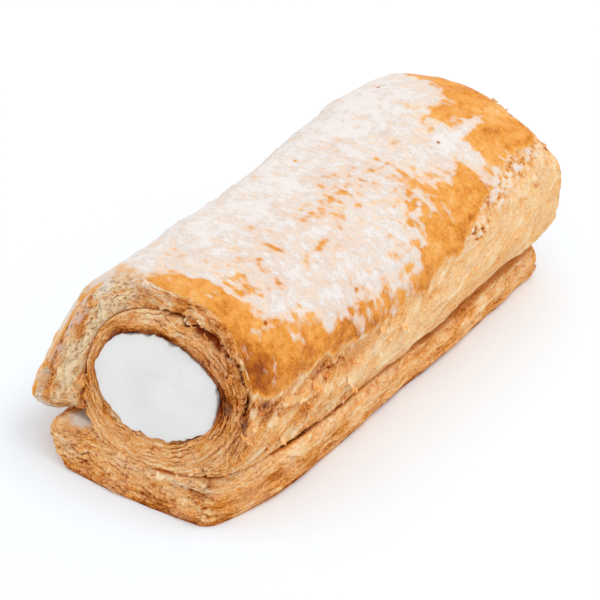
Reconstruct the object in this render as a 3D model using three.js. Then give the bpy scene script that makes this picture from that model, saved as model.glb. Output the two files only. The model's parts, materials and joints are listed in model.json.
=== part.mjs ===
// A cream horn: a strip of puff pastry wound into a wide tube, baked on a flat pastry base, and filled
// with whipped cream that shows as an oval disc at both open ends. Millimetres, +Z up. The roll lies
// along Y with its front end towards -Y, and the origin is on the table under the middle of its box.
import * as THREE from "three";

// Driving sizes of the pastry
const ROLL_RIGHT = 27.6; // from the middle plane out to the right wall at the front end
const ROLL_SPREAD = 1.8; // the right wall is this much further out behind it
const ROLL_LEFT = 27.5; // out to the left wall, at half height
const CROWN = 47.4; // table to the top of the roll
const FLAP_REACH = 30; // how far the loose end of the strip stands out on the left
const BASE_LEFT = 22; // the flat base reaches this far to the left
// The right edge of the base at shares of its length: it bows out behind the front corner
const BASE_RIGHT_EDGE = [
  [0, 24.4],
  [0.08, 27.2],
  [0.19, 29],
  [0.35, 28.5],
  [0.53, 27.6],
  [0.72, 27.4],
  [0.89, 26],
  [1, 25.4],
];
const BASE_FRONT_HEIGHT = 10.7; // the base is thick at the front and thinner at the back
const BASE_BACK_HEIGHT = 6.6;
const FRONT_FOOT = -59.4; // where the front face meets the table
const FRONT_LEAN = 0.35; // the front face goes back this much for each millimetre of height
const FRONT_BOW = 1.1; // the foot of the front face bows forward in its middle
const BACK_REACH = 66.8; // the furthest point of the rounded back end
const BACK_MIDDLE = 26; // height of the furthest point
const BACK_CROWN_ROUND = 10.7; // how far the top of the back end falls short of that
const BACK_FOOT_ROUND = 4; // and how far its foot does
const BACK_LEFT_ROUND = 6; // its left side
const BACK_RIGHT_ROUND = 1.6; // and its upper right

// Driving sizes of the cream and of the pastry wall round it
const CREAM_X = 2.9;
const CREAM_Z = 24.8;
const CREAM_HALF_WIDTH = 16.3;
const CREAM_HALF_HEIGHT = 10.5;
const CREAM_GAP = 0.3; // clearance between the cream and the pastry
const CREAM_DOME = 1.3; // the cream bulges this far out of its rim
const CREAM_SUNK = 0.7; // its rim lies this far inside the pastry's rim
// Thickness of the innermost turn of the strip at angles round the cream, in degrees and millimetres
const TURN_THICKNESS = [
  [-180, 1.9],
  [-165, 2.6],
  [-150, 5.5],
  [-138, 6.5],
  [-123, 6.4],
  [-100, 6.3],
  [-72, 6.2],
  [-51, 7.1],
  [-35, 8.7],
  [-19, 8.7],
  [-2, 7.1],
  [27, 7],
  [43, 6.7],
  [65, 6],
  [90, 5.7],
  [118, 5.4],
  [142, 4.3],
  [163, 2.8],
  [180, 1.9],
];
const CREVICE_DEPTH = 3.6; // gap between two turns of the strip
const CREVICE_HALF_WIDTH = 0.8;
const LEAF_RELIEF = 0.55; // the cut edges of the leaves stand this far proud of the gaps between them
const CRUST_RELIEF = 0.45; // blisters and dips of the baked skin
const GLAZE_EDGE = 23; // height at which the glazed top leaf ends on the right
const GLAZE_EDGE_RISE = 17; // it climbs this much towards the back end
const GLAZE_STEP = 0.6;
const FRONT_RIM_ROUND = 0.5; // the skin turns in this much at the two rims
const BACK_RIM_ROUND = 1;

// Fineness of the mesh
// Steps between one feature of the outline and the next: few in the seams, more on the wide skin
const OUTLINE_STEPS = [1, 2, 1, 2, 2, 2, 5, 5, 7, 7, 6, 6, 6, 9, 6, 2, 1, 2, 1, 1, 1, 2];
const BOTTOM_STEPS = 16;
const SKIN_ROWS = 29;
const TURN_ROWS = 4;
const OUTER_ROWS = 4;
const BORE_ROWS = 5;
const CREAM_COLUMNS = 56;
const CREAM_ROWS = 8;
const CREAM_RINGS = 7;
const COLUMN_EVENING = 5; // columns to each side that the angle of a column is averaged over

const { cos, sin, exp, hypot, atan2, PI } = Math;
const { lerp, clamp, radToDeg } = THREE.MathUtils;
const smooth = (low, high, value) => THREE.MathUtils.smoothstep(value, low, high);
const bump = (value, centre, width) => exp(-(((value - centre) / width) ** 2));

// Uneven but repeatable: between about -1 and 1, with no period that shows
function uneven(a, b, seed) {
  const first = sin(1.31 * a + 2.17 * b + seed) * sin(0.83 * b - 0.57 * a + 2.3 * seed);
  const second = sin(2.9 * a - 1.7 * b + 4.1 * seed) * sin(2.3 * b + 1.9 * a + 0.7 * seed);
  return 0.65 * first + 0.35 * second + 0.2 * sin(0.41 * a + 0.37 * b + 5.3 * seed);
}

// Reads a table of [position, size] rows at any position, with a smooth curve through the rows
function sizeAt(table, position) {
  const at = clamp(position, table[0][0], table.at(-1)[0]);
  const after = clamp(table.findIndex(([key]) => key >= at), 1, table.length - 1);
  const [[k0, v0], [k1, v1]] = [table[after - 1], table[after]];
  const [kb, vb] = table[Math.max(after - 2, 0)];
  const [ka, va] = table[Math.min(after + 1, table.length - 1)];
  const span = k1 - k0;
  const slope0 = ((v1 - vb) / (k1 - kb)) * span;
  const slope1 = ((va - v0) / (ka - k0)) * span;
  const u = (at - k0) / span;
  const blend = u * u * (3 - 2 * u);
  return lerp(v0, v1, blend) + slope0 * u * (1 - u) ** 2 - slope1 * u * u * (1 - u);
}

// The outside of one cross-section at share t of the length, from the base's lower right corner, up and
// over the roll, to the base's lower left corner. Each corner of the list is one feature of the section.
function sectionFeatures(t) {
  const base = lerp(BASE_FRONT_HEIGHT, BASE_BACK_HEIGHT, smooth(0, 0.8, t)) + 0.3 * uneven(9 * t, 1, 2);
  const right = sizeAt(BASE_RIGHT_EDGE, t) + 0.3 * uneven(14 * t, 3, 1);
  const left = -BASE_LEFT - 0.9 * sin(PI * t) + 1.6 * smooth(0.8, 1, t) + 0.3 * uneven(12 * t, 5, 3);
  // Depth of the groove between roll and base
  const seam = lerp(2.2, 5.2, smooth(0.35, 0.8, t)) - 2 * smooth(0.9, 1, t);
  const overhang = lerp(1.6, 6, smooth(0.3, 0.95, t)); // height at which the roll's side turns under
  const wall = ROLL_RIGHT + ROLL_SPREAD * smooth(0, 0.3, t) + 0.3 * uneven(10 * t, 7, 4);
  const sag = 1.5 * sin(PI * t) ** 2; // the roll is a little lower between its ends
  const crown = CROWN + 0.9 * t - sag + 0.3 * uneven(9 * t, 9, 5);
  const flap = -FLAP_REACH + 1.6 * smooth(0.15, 0.6, t);
  const back = smooth(0.83, 1, t); // the top is rounder towards the back end
  const pinched = 1.3 * smooth(0.01, 0.08, t) * (1 - smooth(0.3, 0.75, t)); // narrower behind the front rim
  const shoulder = -20.8 + pinched + 1.1 * sin(PI * t) ** 2 + 1.5 * back;
  return [
    [right - 1.2, 0],
    [right, 2.2],
    [right - 0.2, base - 2.5],
    [right - 1.8, base - 0.4],
    [right - 1.8 - seam, base + 0.1],
    [wall - 2.2, base + overhang],
    [wall - 0.3, base + overhang + 4.5],
    [wall, 25],
    [wall - 0.6, 33],
    [wall - 6.5 - back, 41.6 + 0.6 * t - 0.4 * sag - 0.8 * back],
    [11, crown - 0.9],
    [-1, crown],
    [-12, crown - 0.9 - 1.6 * back],
    [shoulder, 38.9 - 0.8 * sag],
    [-ROLL_LEFT, 23],
    [flap, 12],
    [flap + 1.3, 8.9],
    [flap + 4.8, 8.5],
    [left + 3.4, 9.3],
    [left + 0.3, 8],
    [left, 5.9],
    [left + 2.8, 2.7],
    [left + 6.2, 0],
  ].map(([x, z]) => new THREE.Vector2(x, z));
}

// The whole closed outline of a section: the features joined by one smooth curve, then the flat bottom
function sectionOutline(t) {
  const features = sectionFeatures(t);
  const curve = new THREE.SplineCurve(features);
  const outline = OUTLINE_STEPS.flatMap((steps, gap) =>
    Array.from({ length: steps }, (_, i) => curve.getPoint((gap + i / steps) / OUTLINE_STEPS.length)),
  );
  const [from, to] = [features.at(-1), features[0]];
  for (let i = 0; i < BOTTOM_STEPS; i++) outline.push(from.clone().lerp(to, i / BOTTOM_STEPS));
  return outline.map((p) => new THREE.Vector2(p.x, Math.max(p.y, 0)));
}

// The two end faces, as a depth along Y over the section
function frontDepth(x, z) {
  const bow = FRONT_BOW * (1 - (x / 26) ** 2) * (1 - smooth(0, 14, z));
  return FRONT_FOOT + FRONT_LEAN * z + 0.035 * x + 0.0015 * x * x - bow;
}
function backDepth(x, z) {
  const height = (z - BACK_MIDDLE) / 25;
  const round = height > 0 ? BACK_CROWN_ROUND : BACK_FOOT_ROUND;
  const side = BACK_LEFT_ROUND * (1 - smooth(-24, 8, x)) + BACK_RIGHT_ROUND * smooth(10, 28, x) * smooth(22, 40, z);
  return BACK_REACH - round * height ** 2 - side;
}

// The oval opening that holds the cream, at an angle round its centre
function openingRadius(angle) {
  const oval = 1 / hypot(cos(angle) / CREAM_HALF_WIDTH, sin(angle) / CREAM_HALF_HEIGHT);
  return oval + CREAM_GAP + 0.25 * uneven(2.2 * cos(angle), 2.2 * sin(angle), 6);
}

// How far the gap between the turns is open at an angle: widest at the upper right and on the left,
// closed over the upper left, where the strip passes from the inner turn to the outer one
function creviceShare(degrees) {
  const upperRight = smooth(-30, 5, degrees) * (1 - smooth(62, 92, degrees));
  const left = 0.9 * bump(degrees, -156, 14);
  const under = 0.4 * bump(degrees, -75, 45);
  return clamp(upperRight + left + under, 0, 1);
}

// The angle round the cream that each point of an outline belongs to. It is evened out along the outline,
// so that the columns never cross where the outline folds into the seam.
function columnAngles(outline) {
  const angles = [];
  outline.forEach((p) => {
    let angle = atan2(p.y - CREAM_Z, p.x - CREAM_X);
    const last = angles.at(-1) ?? angle;
    angle += 2 * PI * Math.round((last - angle) / (2 * PI));
    angles.push(angle);
  });
  const count = angles.length;
  const at = (j) => angles.at(j % count) + 2 * PI * Math.floor(j / count);
  const even = angles.map((_, j) => {
    let sum = 0;
    for (let k = -COLUMN_EVENING; k <= COLUMN_EVENING; k++) sum += at(j + k);
    return sum / (2 * COLUMN_EVENING + 1);
  });
  return even.map((angle, j) => lerp(angle, even[0] + (2 * PI * j) / count, 0.35));
}

// Rows of points across an end face: each column runs from the opening out to the section's outline
function faceRows(outline, depth, outward) {
  const rows = [];
  const angles = columnAngles(outline);
  const between = TURN_ROWS + OUTER_ROWS + 2;
  const gap = CREVICE_HALF_WIDTH;
  for (let k = 0; k <= between; k++) {
    const row = outline.map((edge, column) => {
      const angle = angles[column];
      const radius = openingRadius(angle);
      const degrees = radToDeg(atan2(sin(angle), cos(angle)));
      const inner = new THREE.Vector2(CREAM_X + radius * cos(angle), CREAM_Z + radius * sin(angle));
      const full = inner.distanceTo(edge);
      const turn = Math.min(sizeAt(TURN_THICKNESS, degrees), full - 2.4);
      let reach;
      let proud = k % 2 ? 1 : -0.6;
      if (k < TURN_ROWS) {
        reach = lerp(0, turn - gap, k / TURN_ROWS);
      } else if (k < TURN_ROWS + 3) {
        reach = turn + gap * (k - TURN_ROWS - 1);
        proud = k === TURN_ROWS + 1 ? (-CREVICE_DEPTH / LEAF_RELIEF) * creviceShare(degrees) : 0.5;
      } else {
        reach = lerp(turn + gap, full, (k - TURN_ROWS - 2) / OUTER_ROWS);
      }
      if (k === 0 || k === between) proud = 0;
      const { x, y: z } = inner.lerp(edge, reach / full);
      const torn = 0.7 + 0.5 * uneven(0.9 * column, 1.7 * k, outward + 3);
      return new THREE.Vector3(x, depth(x, z) + outward * LEAF_RELIEF * proud * torn, Math.max(z, 0));
    });
    rows.push(row);
  }
  return rows;
}

// The baked skin between the two end faces, with its blisters, its rounded rims and the glazed top leaf
function skinRows() {
  const rows = [];
  for (let i = 0; i <= SKIN_ROWS; i++) {
    const t = 0.5 - 0.5 * cos((PI * i) / SKIN_ROWS);
    const outline = sectionOutline(t);
    const tuck = FRONT_RIM_ROUND * exp(-t / 0.012) + BACK_RIM_ROUND * exp(-(1 - t) / 0.03);
    rows.push(
      outline.map((p, j) => {
        const before = outline.at(j - 1);
        const after = outline[(j + 1) % outline.length];
        const normal = new THREE.Vector2(after.y - before.y, before.x - after.x).normalize();
        const edge = GLAZE_EDGE + GLAZE_EDGE_RISE * smooth(0.55, 1, t) + uneven(17 * t, 2, 8);
        const bare = smooth(9, 13, p.y) * (1 - smooth(edge - 0.6, edge + 0.8, p.y));
        const lift = 1 - exp(-p.y / 3); // nothing moves off the flat bottom
        const offset = (CRUST_RELIEF * uneven(0.33 * j, 23 * t, 7) - GLAZE_STEP * bare - tuck) * lift;
        const x = p.x + normal.x * offset;
        const z = p.y === 0 ? 0 : Math.max(p.y + normal.y * offset, 0);
        return new THREE.Vector3(x, lerp(frontDepth(x, z), backDepth(x, z), t), z);
      }),
    );
  }
  return rows;
}

// Closed rows of equal length, one behind the other, become one closed surface. The last row joins the
// first one round a tunnel, unless there are end points that close the two ends.
function closedSurface(rows, ends = []) {
  const columns = rows[0].length;
  const points = [...rows.flat(), ...ends];
  const index = [];
  for (let i = 0; i < rows.length - ends.length / 2; i++) {
    for (let j = 0; j < columns; j++) {
      const below = ((i + 1) % rows.length) * columns;
      const [a, b] = [i * columns + j, i * columns + ((j + 1) % columns)];
      const [c, d] = [below + j, below + ((j + 1) % columns)];
      index.push(a, d, b, a, c, d);
    }
  }
  if (ends.length) {
    const [front, back] = [points.length - 2, points.length - 1];
    const last = (rows.length - 1) * columns;
    for (let j = 0; j < columns; j++) {
      const next = (j + 1) % columns;
      index.push(front, j, next, back, last + next, last + j);
    }
  }
  const geometry = new THREE.BufferGeometry();
  const position = points.flatMap((p) => p.toArray());
  geometry.setAttribute("position", new THREE.Float32BufferAttribute(position, 3));
  geometry.setIndex(index);
  return geometry;
}

function pastryGeometry() {
  const skin = skinRows();
  const flat = (row) => row.map((p) => new THREE.Vector2(p.x, p.z));
  const front = faceRows(flat(skin[0]), frontDepth, -1);
  const back = faceRows(flat(skin.at(-1)), backDepth, 1).reverse();
  const angleOf = (p) => atan2(p.z - CREAM_Z, p.x - CREAM_X);
  const bore = [];
  for (let i = 1; i < BORE_ROWS; i++) {
    bore.push(
      back.at(-1).map((from, j) => {
        const to = front[0][j];
        const turned = atan2(sin(angleOf(to) - angleOf(from)), cos(angleOf(to) - angleOf(from)));
        const angle = angleOf(from) + (turned * i) / BORE_ROWS;
        const radius = openingRadius(angle);
        const y = lerp(from.y, to.y, i / BORE_ROWS);
        return new THREE.Vector3(CREAM_X + radius * cos(angle), y, CREAM_Z + radius * sin(angle));
      }),
    );
  }
  return closedSurface([...front.slice(0, -1), ...skin, ...back.slice(1), ...bore]);
}

// The cream fills the opening from end to end. Each end is a low dome with a soft fold across it.
function creamGeometry() {
  const creamPoint = (angle, share, depth, outward) => {
    const radius = (openingRadius(angle) - CREAM_GAP) * share;
    const x = CREAM_X + radius * cos(angle);
    const z = CREAM_Z + radius * sin(angle);
    const fold = 0.25 * sin(0.35 * x + 0.5 * z) * (1 - share ** 4);
    const dome = CREAM_DOME * Math.sqrt(Math.max(0, 1 - share ** 2)) - CREAM_SUNK + fold;
    return new THREE.Vector3(x, depth(x, z) + outward * dome, z);
  };
  const ring = (k, depth, outward) => {
    const share = sin((PI / 2) * (k / CREAM_RINGS));
    return Array.from({ length: CREAM_COLUMNS }, (_, j) =>
      creamPoint((2 * PI * j) / CREAM_COLUMNS, share, depth, outward),
    );
  };
  const front = [];
  const side = [];
  const back = [];
  for (let k = 1; k <= CREAM_RINGS; k++) {
    front.push(ring(k, frontDepth, -1));
    back.unshift(ring(k, backDepth, 1));
  }
  for (let i = 1; i < CREAM_ROWS; i++) {
    side.push(front.at(-1).map((p, j) => p.clone().lerp(back[0][j], i / CREAM_ROWS)));
  }
  const ends = [creamPoint(0, 0, frontDepth, -1), creamPoint(0, 0, backDepth, 1)];
  return closedSurface([...front, ...side, ...back], ends);
}

const crust = new THREE.MeshStandardMaterial({ color: 0xd9a05b, roughness: 0.62, metalness: 0 });
const whipped = new THREE.MeshStandardMaterial({ color: 0xf4f2ee, roughness: 0.45, metalness: 0 });

const pastry = new THREE.Mesh(pastryGeometry(), crust);
pastry.name = "pastry";
const cream = new THREE.Mesh(creamGeometry(), whipped);
cream.name = "cream";

// The origin is moved to the table under the middle of the pastry's box
const box = new THREE.Box3().setFromObject(pastry);
const middle = box.getCenter(new THREE.Vector3());
for (const mesh of [pastry, cream]) {
  mesh.geometry.translate(-middle.x, -middle.y, -box.min.z);
  mesh.geometry.computeVertexNormals();
}

const horn = new THREE.Group();
horn.add(pastry, cream);

export default horn;
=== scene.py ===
# A cream horn: a strip of puff pastry wound into a wide tube and baked on a flat pastry sheet, filled with
# whipped cream and dusted with icing sugar. Lengths are millimetres until a mesh is made, which is in metres.
import json

import bpy
import numpy as np
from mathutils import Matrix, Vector

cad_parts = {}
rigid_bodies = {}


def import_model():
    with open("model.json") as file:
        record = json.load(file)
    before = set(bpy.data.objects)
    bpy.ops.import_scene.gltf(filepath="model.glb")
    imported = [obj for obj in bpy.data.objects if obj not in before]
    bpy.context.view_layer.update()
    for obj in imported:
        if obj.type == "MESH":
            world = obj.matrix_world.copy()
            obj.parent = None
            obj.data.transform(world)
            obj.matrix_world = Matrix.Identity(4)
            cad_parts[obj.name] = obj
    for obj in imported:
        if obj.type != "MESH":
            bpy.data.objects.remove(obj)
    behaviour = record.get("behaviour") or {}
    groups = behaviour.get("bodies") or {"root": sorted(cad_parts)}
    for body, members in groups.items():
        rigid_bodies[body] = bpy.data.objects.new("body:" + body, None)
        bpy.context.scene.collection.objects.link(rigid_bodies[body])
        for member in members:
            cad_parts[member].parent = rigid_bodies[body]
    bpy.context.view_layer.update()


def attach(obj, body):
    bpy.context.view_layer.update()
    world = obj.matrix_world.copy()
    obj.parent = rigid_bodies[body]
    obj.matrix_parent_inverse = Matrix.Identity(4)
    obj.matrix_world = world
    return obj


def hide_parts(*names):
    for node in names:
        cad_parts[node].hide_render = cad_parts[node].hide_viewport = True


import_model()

# The camera. The photograph looks down on the front right corner of the pastry from about a metre away,
# through a long lens.
VIEW_TURN = np.radians(37.6)
VIEW_HEIGHT = np.radians(36.2)
VIEW_TARGET = Vector((-0.003732, 0.006458, 0.01065))
VIEW_DISTANCE = 1.118
SENSOR_WIDTH = 36
LENS = 295.2

towards_camera = Vector(
    (
        np.sin(VIEW_TURN) * np.cos(VIEW_HEIGHT),
        -np.cos(VIEW_TURN) * np.cos(VIEW_HEIGHT),
        np.sin(VIEW_HEIGHT),
    )
)
camera = bpy.data.objects.new("camera", bpy.data.cameras.new("camera"))
camera.data.sensor_width = SENSOR_WIDTH
camera.data.lens = LENS
camera.data.clip_start = 0.01
camera.location = VIEW_TARGET + VIEW_DISTANCE * towards_camera
camera.rotation_mode = "QUATERNION"
camera.rotation_quaternion = towards_camera.to_track_quat("Z", "Y")
bpy.context.scene.collection.objects.link(camera)
bpy.context.scene.camera = camera

# The table and the light. The pastry lies on a white table in a bright white room, with one large soft
# lamp above and behind it on the right, so its shadow is faint and close, and falls to the front and left.
TABLE_WHITE = (0.855, 0.92, 0.98, 1)
TABLE_GLOW = 0.05  # the table is lit a little from below too
ROOM_STRENGTH = 0.96
LAMP_PLACE = Vector((0.35, 0.3, 0.9))
LAMP_SIZE = 0.5
LAMP_WATTS = 2.1
TABLE_REACH = 3

bpy.context.scene.view_settings.view_transform = "Standard"
room = bpy.data.worlds.new("white_room")
room.use_nodes = True
room.node_tree.nodes["Background"].inputs["Color"].default_value = (1, 0.995, 0.99, 1)
room.node_tree.nodes["Background"].inputs["Strength"].default_value = ROOM_STRENGTH
bpy.context.scene.world = room

lamp = bpy.data.objects.new("soft_lamp", bpy.data.lights.new("soft_lamp", "AREA"))
lamp.data.shape = "DISK"
lamp.data.size = LAMP_SIZE
lamp.data.energy = LAMP_WATTS
lamp.data.color = (1, 0.985, 0.96)
lamp.location = LAMP_PLACE
lamp.rotation_mode = "QUATERNION"
lamp.rotation_quaternion = LAMP_PLACE.to_track_quat("Z", "Y")
bpy.context.scene.collection.objects.link(lamp)

white_table = bpy.data.materials.new("white_table")
white_table.use_nodes = True
table_shader = white_table.node_tree.nodes["Principled BSDF"]
table_shader.inputs["Base Color"].default_value = TABLE_WHITE
table_shader.inputs["Roughness"].default_value = 0.85
table_shader.inputs["Emission Color"].default_value = (1, 0.985, 0.98, 1)
table_shader.inputs["Emission Strength"].default_value = TABLE_GLOW
table_shader.inputs["Specular IOR Level"].default_value = 0.15
table_mesh = bpy.data.meshes.new("table_top")
table_corners = [(a * TABLE_REACH, b * TABLE_REACH, 0) for a, b in ((-1, -1), (1, -1), (1, 1), (-1, 1))]
table_mesh.from_pydata(table_corners, [], [(0, 1, 2, 3)])
table_mesh.materials.append(white_table)
table_top = bpy.data.objects.new("table_top", table_mesh)
bpy.context.scene.collection.objects.link(table_top)

# The inner turn. It is the start of the pastry strip, wound once round the baking tube: a ring of many thin
# leaves round the cream, cut across at both ends. Its inner skin is baked to caramel on the tube.
MILLIMETRE = 0.001
MIDDLE = np.array([0.1669, 3.3533, 0])  # from the maker's measuring point to the middle of the pastry
LENGTH = 126  # from the front to the back, as places along the pastry are counted
ROLL_RIGHT = 27.6
ROLL_SPREAD = 1.8
ROLL_LEFT = 27.5
CROWN = 47.4
FLAP_REACH = 30
BASE_LEFT = 22
BASE_RIGHT_EDGE = [  # how far right the base reaches, from the front (0) to the back (1)
    [0, 24.4],
    [0.08, 27.2],
    [0.19, 29],
    [0.35, 28.5],
    [0.53, 27.6],
    [0.72, 27.4],
    [0.89, 26],
    [1, 25.4],
]
BASE_FRONT_HEIGHT = 10.7
BASE_BACK_HEIGHT = 6.6
CREAM_X = 2.9
CREAM_Z = 24.8
CREAM_HALF_WIDTH = 16.3
CREAM_HALF_HEIGHT = 10.5
TURN_THICKNESS = [  # at each angle round the cream, in degrees up from the right
    [-180, 1.9],
    [-165, 2.6],
    [-150, 5.5],
    [-138, 6.5],
    [-123, 6.4],
    [-100, 6.3],
    [-72, 6.2],
    [-51, 7.1],
    [-35, 8.7],
    [-19, 8.7],
    [-2, 7.1],
    [27, 7],
    [43, 6.7],
    [65, 6],
    [90, 5.7],
    [118, 5.4],
    [142, 4.3],
    [163, 2.8],
    [180, 1.9],
]
TURN_COLUMNS = 420
TURN_ROWS = 64
LEAF_PITCH = 1.0  # from one leaf to the next across a cut end
FRONT_CARAMEL = [  # the middle, half width and height, and strength of each dark place on the front
    [22.5, 28, 3, 6, 0.24],
    [22, 26.6, 0.8, 1.5, 0.42],
    [-10, 33, 4, 3, 0.2],
    [-14.5, 20, 1.3, 8, 0.16],
    [24.5, 13.5, 2, 1.2, 0.3],
    [-3, 9, 5, 0.8, 0.12],
]
DOUGH_COLOURS = [
    (0.0, (1.0, 0.79, 0.51)),
    (0.2, (0.98, 0.61, 0.285)),
    (0.42, (0.91, 0.42, 0.12)),
    (0.6, (0.69, 0.225, 0.028)),
    (0.8, (0.37, 0.085, 0.009)),
    (1.0, (0.14, 0.03, 0.005)),
]
ROSY_DOUGH = (0.86, 0.50, 0.29, 1)
# The colour of the painted shade between leaves, in pits and in crevices.
SHADE_BETWEEN_LEAVES = (0.40, 0.11, 0.016, 1)
SUGAR_WHITE = (0.85, 0.81, 0.795, 1)
CRUMB_HEIGHT = 0.0004  # metres, as a material takes it


def lerp(low, high, share):
    return low + (high - low) * share


def smooth(low, high, value):
    share = np.clip((value - low) / (high - low), 0, 1)
    return share * share * (3 - 2 * share)


def bump(value, centre, width):
    return np.exp(-(((value - centre) / width) ** 2))


def spot(a, b, a_middle, b_middle, a_size, b_size):
    return np.exp(-(((a - a_middle) / a_size) ** 2) - ((b - b_middle) / b_size) ** 2)


def spots(a, b, places):
    """Soft spots added up, each given by its middle, its half width both ways and its strength."""
    return sum(spot(a, b, *place) * strength for *place, strength in places)


def in_metres(points):
    """Points in millimetres from the maker's measuring point, in metres from the middle of the pastry."""
    return (points - MIDDLE) * MILLIMETRE


def uneven(a, b, seed):
    first = np.sin(1.31 * a + 2.17 * b + seed) * np.sin(0.83 * b - 0.57 * a + 2.3 * seed)
    second = np.sin(2.9 * a - 1.7 * b + 4.1 * seed) * np.sin(2.3 * b + 1.9 * a + 0.7 * seed)
    return 0.65 * first + 0.35 * second + 0.2 * np.sin(0.41 * a + 0.37 * b + 5.3 * seed)


def size_at(table, place):
    """The size at a place, on a smooth curve through the rows of a table."""
    key, size = np.array(table, float).T
    at = np.clip(place, key[0], key[-1])
    row = np.clip(np.searchsorted(key, at), 1, len(key) - 1)
    before, after = np.maximum(row - 2, 0), np.minimum(row + 1, len(key) - 1)
    span = key[row] - key[row - 1]
    slope_in = (size[row] - size[before]) / (key[row] - key[before]) * span
    slope_out = (size[after] - size[row - 1]) / (key[after] - key[row - 1]) * span
    u = (at - key[row - 1]) / span
    blend = u * u * (3 - 2 * u)
    return lerp(size[row - 1], size[row], blend) + slope_in * u * (1 - u) ** 2 - slope_out * u * u * (1 - u)


def section_features(t):
    """The corners of the section at share t of the length, from the base's right foot over the roll and down
    to its left one."""
    t = np.asarray(t, float)
    rise = np.sin(np.pi * t)
    base = lerp(BASE_FRONT_HEIGHT, BASE_BACK_HEIGHT, smooth(0, 0.8, t)) + 0.3 * uneven(9 * t, 1, 2)
    right = size_at(BASE_RIGHT_EDGE, t) + 0.3 * uneven(14 * t, 3, 1)
    left = -BASE_LEFT - 0.9 * rise + 1.6 * smooth(0.8, 1, t) + 0.3 * uneven(12 * t, 5, 3)
    seam = lerp(2.2, 5.2, smooth(0.35, 0.8, t)) - 2 * smooth(0.9, 1, t)
    overhang = lerp(1.6, 6, smooth(0.3, 0.95, t))
    wall = ROLL_RIGHT + ROLL_SPREAD * smooth(0, 0.3, t) + 0.3 * uneven(10 * t, 7, 4)
    sag = 1.5 * rise**2
    crown = CROWN + 0.9 * t - sag + 0.3 * uneven(9 * t, 9, 5)
    flap = -FLAP_REACH + 1.6 * smooth(0.15, 0.6, t)
    back = smooth(0.83, 1, t)
    pinched = 1.3 * smooth(0.01, 0.08, t) * (1 - smooth(0.3, 0.75, t))
    shoulder = -20.8 + pinched + 1.1 * rise**2 + 1.5 * back
    corners = [
        (right - 1.2, 0),
        (right, 2.2),
        (right - 0.2, base - 2.5),
        (right - 1.8, base - 0.4),
        (right - 1.8 - seam, base + 0.1),
        (wall - 2.2, base + overhang),
        (wall - 0.3, base + overhang + 4.5),
        (wall, 25),
        (wall - 0.6, 33),
        (wall - 6.5 - back, 41.6 + 0.6 * t - 0.4 * sag - 0.8 * back),
        (11, crown - 0.9),
        (-1, crown),
        (-12, crown - 0.9 - 1.6 * back),
        (shoulder, 38.9 - 0.8 * sag),
        (-ROLL_LEFT, 23),
        (flap, 12),
        (flap + 1.3, 8.9),
        (flap + 4.8, 8.5),
        (left + 3.4, 9.3),
        (left + 0.3, 8),
        (left, 5.9),
        (left + 2.8, 2.7),
        (left + 6.2, 0),
    ]
    return np.array([[x + 0 * t, z + 0 * t] for x, z in corners]).transpose(0, 2, 1)


def section_curve(t, q):
    """Points on the smooth outline of the sections t, at places q counted in corners: t by q by (x, z)."""
    corners = section_features(t)
    step = np.minimum(np.asarray(q, float).astype(int), len(corners) - 2)
    w = (q - step)[:, None, None]
    before, start = corners[np.maximum(step - 1, 0)], corners[step]
    end, after = corners[step + 1], corners[np.minimum(step + 2, len(corners) - 1)]
    pull_in, pull_out = (end - before) / 2, (after - start) / 2
    cubic = (2 * start - 2 * end + pull_in + pull_out) * w**3
    square = (3 * end - 3 * start - 2 * pull_in - pull_out) * w**2
    return (cubic + square + pull_in * w + start).transpose(1, 0, 2)


def front_depth(x, z):
    bow = 1.1 * (1 - (x / 26) ** 2) * (1 - smooth(0, 14, z))
    return -59.4 + 0.35 * z + 0.035 * x + 0.0015 * x * x - bow


def back_depth(x, z):
    height = (z - 26) / 25
    side = 6 * (1 - smooth(-24, 8, x)) + 1.6 * smooth(10, 28, x) * smooth(22, 40, z)
    return 66.8 - np.where(height > 0, 10.7, 4) * height**2 - side


def on_end(x, z, relief, end):
    """Points on the front (end 0) or back (end 1) face, standing relief proud of it."""
    if end == 0:
        return np.stack([x, front_depth(x, z) - 0.94 * relief, z + 0.33 * relief], -1)
    return np.stack([x, back_depth(x, z) + relief, z + 0 * relief], -1)


def opening_radius(angle):
    oval = 1 / np.hypot(np.cos(angle) / CREAM_HALF_WIDTH, np.sin(angle) / CREAM_HALF_HEIGHT)
    return oval + 0.3 + 0.25 * uneven(2.2 * np.cos(angle), 2.2 * np.sin(angle), 6)


def degrees_of(angle):
    return np.degrees(np.arctan2(np.sin(angle), np.cos(angle)))


def crevice_share(angle):
    """How far the gap between the two turns of the strip stands open at an angle round the cream."""
    d = degrees_of(angle)
    upper_right = smooth(-30, 5, d) * (1 - smooth(70, 112, d))
    left = 0.7 * bump(d, -152, 14) + 0.25 * bump(d, -176, 14)
    return np.clip(upper_right + left, 0, 1)


def skin_reach(angle, t):
    """From the middle of the cream out to the roll's skin at an angle, in the section t."""
    outline = section_curve(np.array([t]), np.linspace(4, 17.6, 500))[0]
    around = np.unwrap(np.arctan2(outline[:, 1] - CREAM_Z, outline[:, 0] - CREAM_X))
    around = np.maximum.accumulate(around)
    wrapped = np.where(angle < around[0], angle + 2 * np.pi, angle)
    reach = np.interp(wrapped, around, np.hypot(outline[:, 0] - CREAM_X, outline[:, 1] - CREAM_Z))
    foot = CREAM_Z / np.maximum(-np.sin(angle), 0.05)
    return np.where(wrapped > around[-1], foot, reach)


def turn_reach(angle, t):
    """From the middle of the cream out to the outside of the inner turn."""
    inner = opening_radius(angle)
    thick = size_at(TURN_THICKNESS, degrees_of(angle))
    return inner + np.minimum(thick, skin_reach(angle, t) - inner - 2.4)


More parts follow.
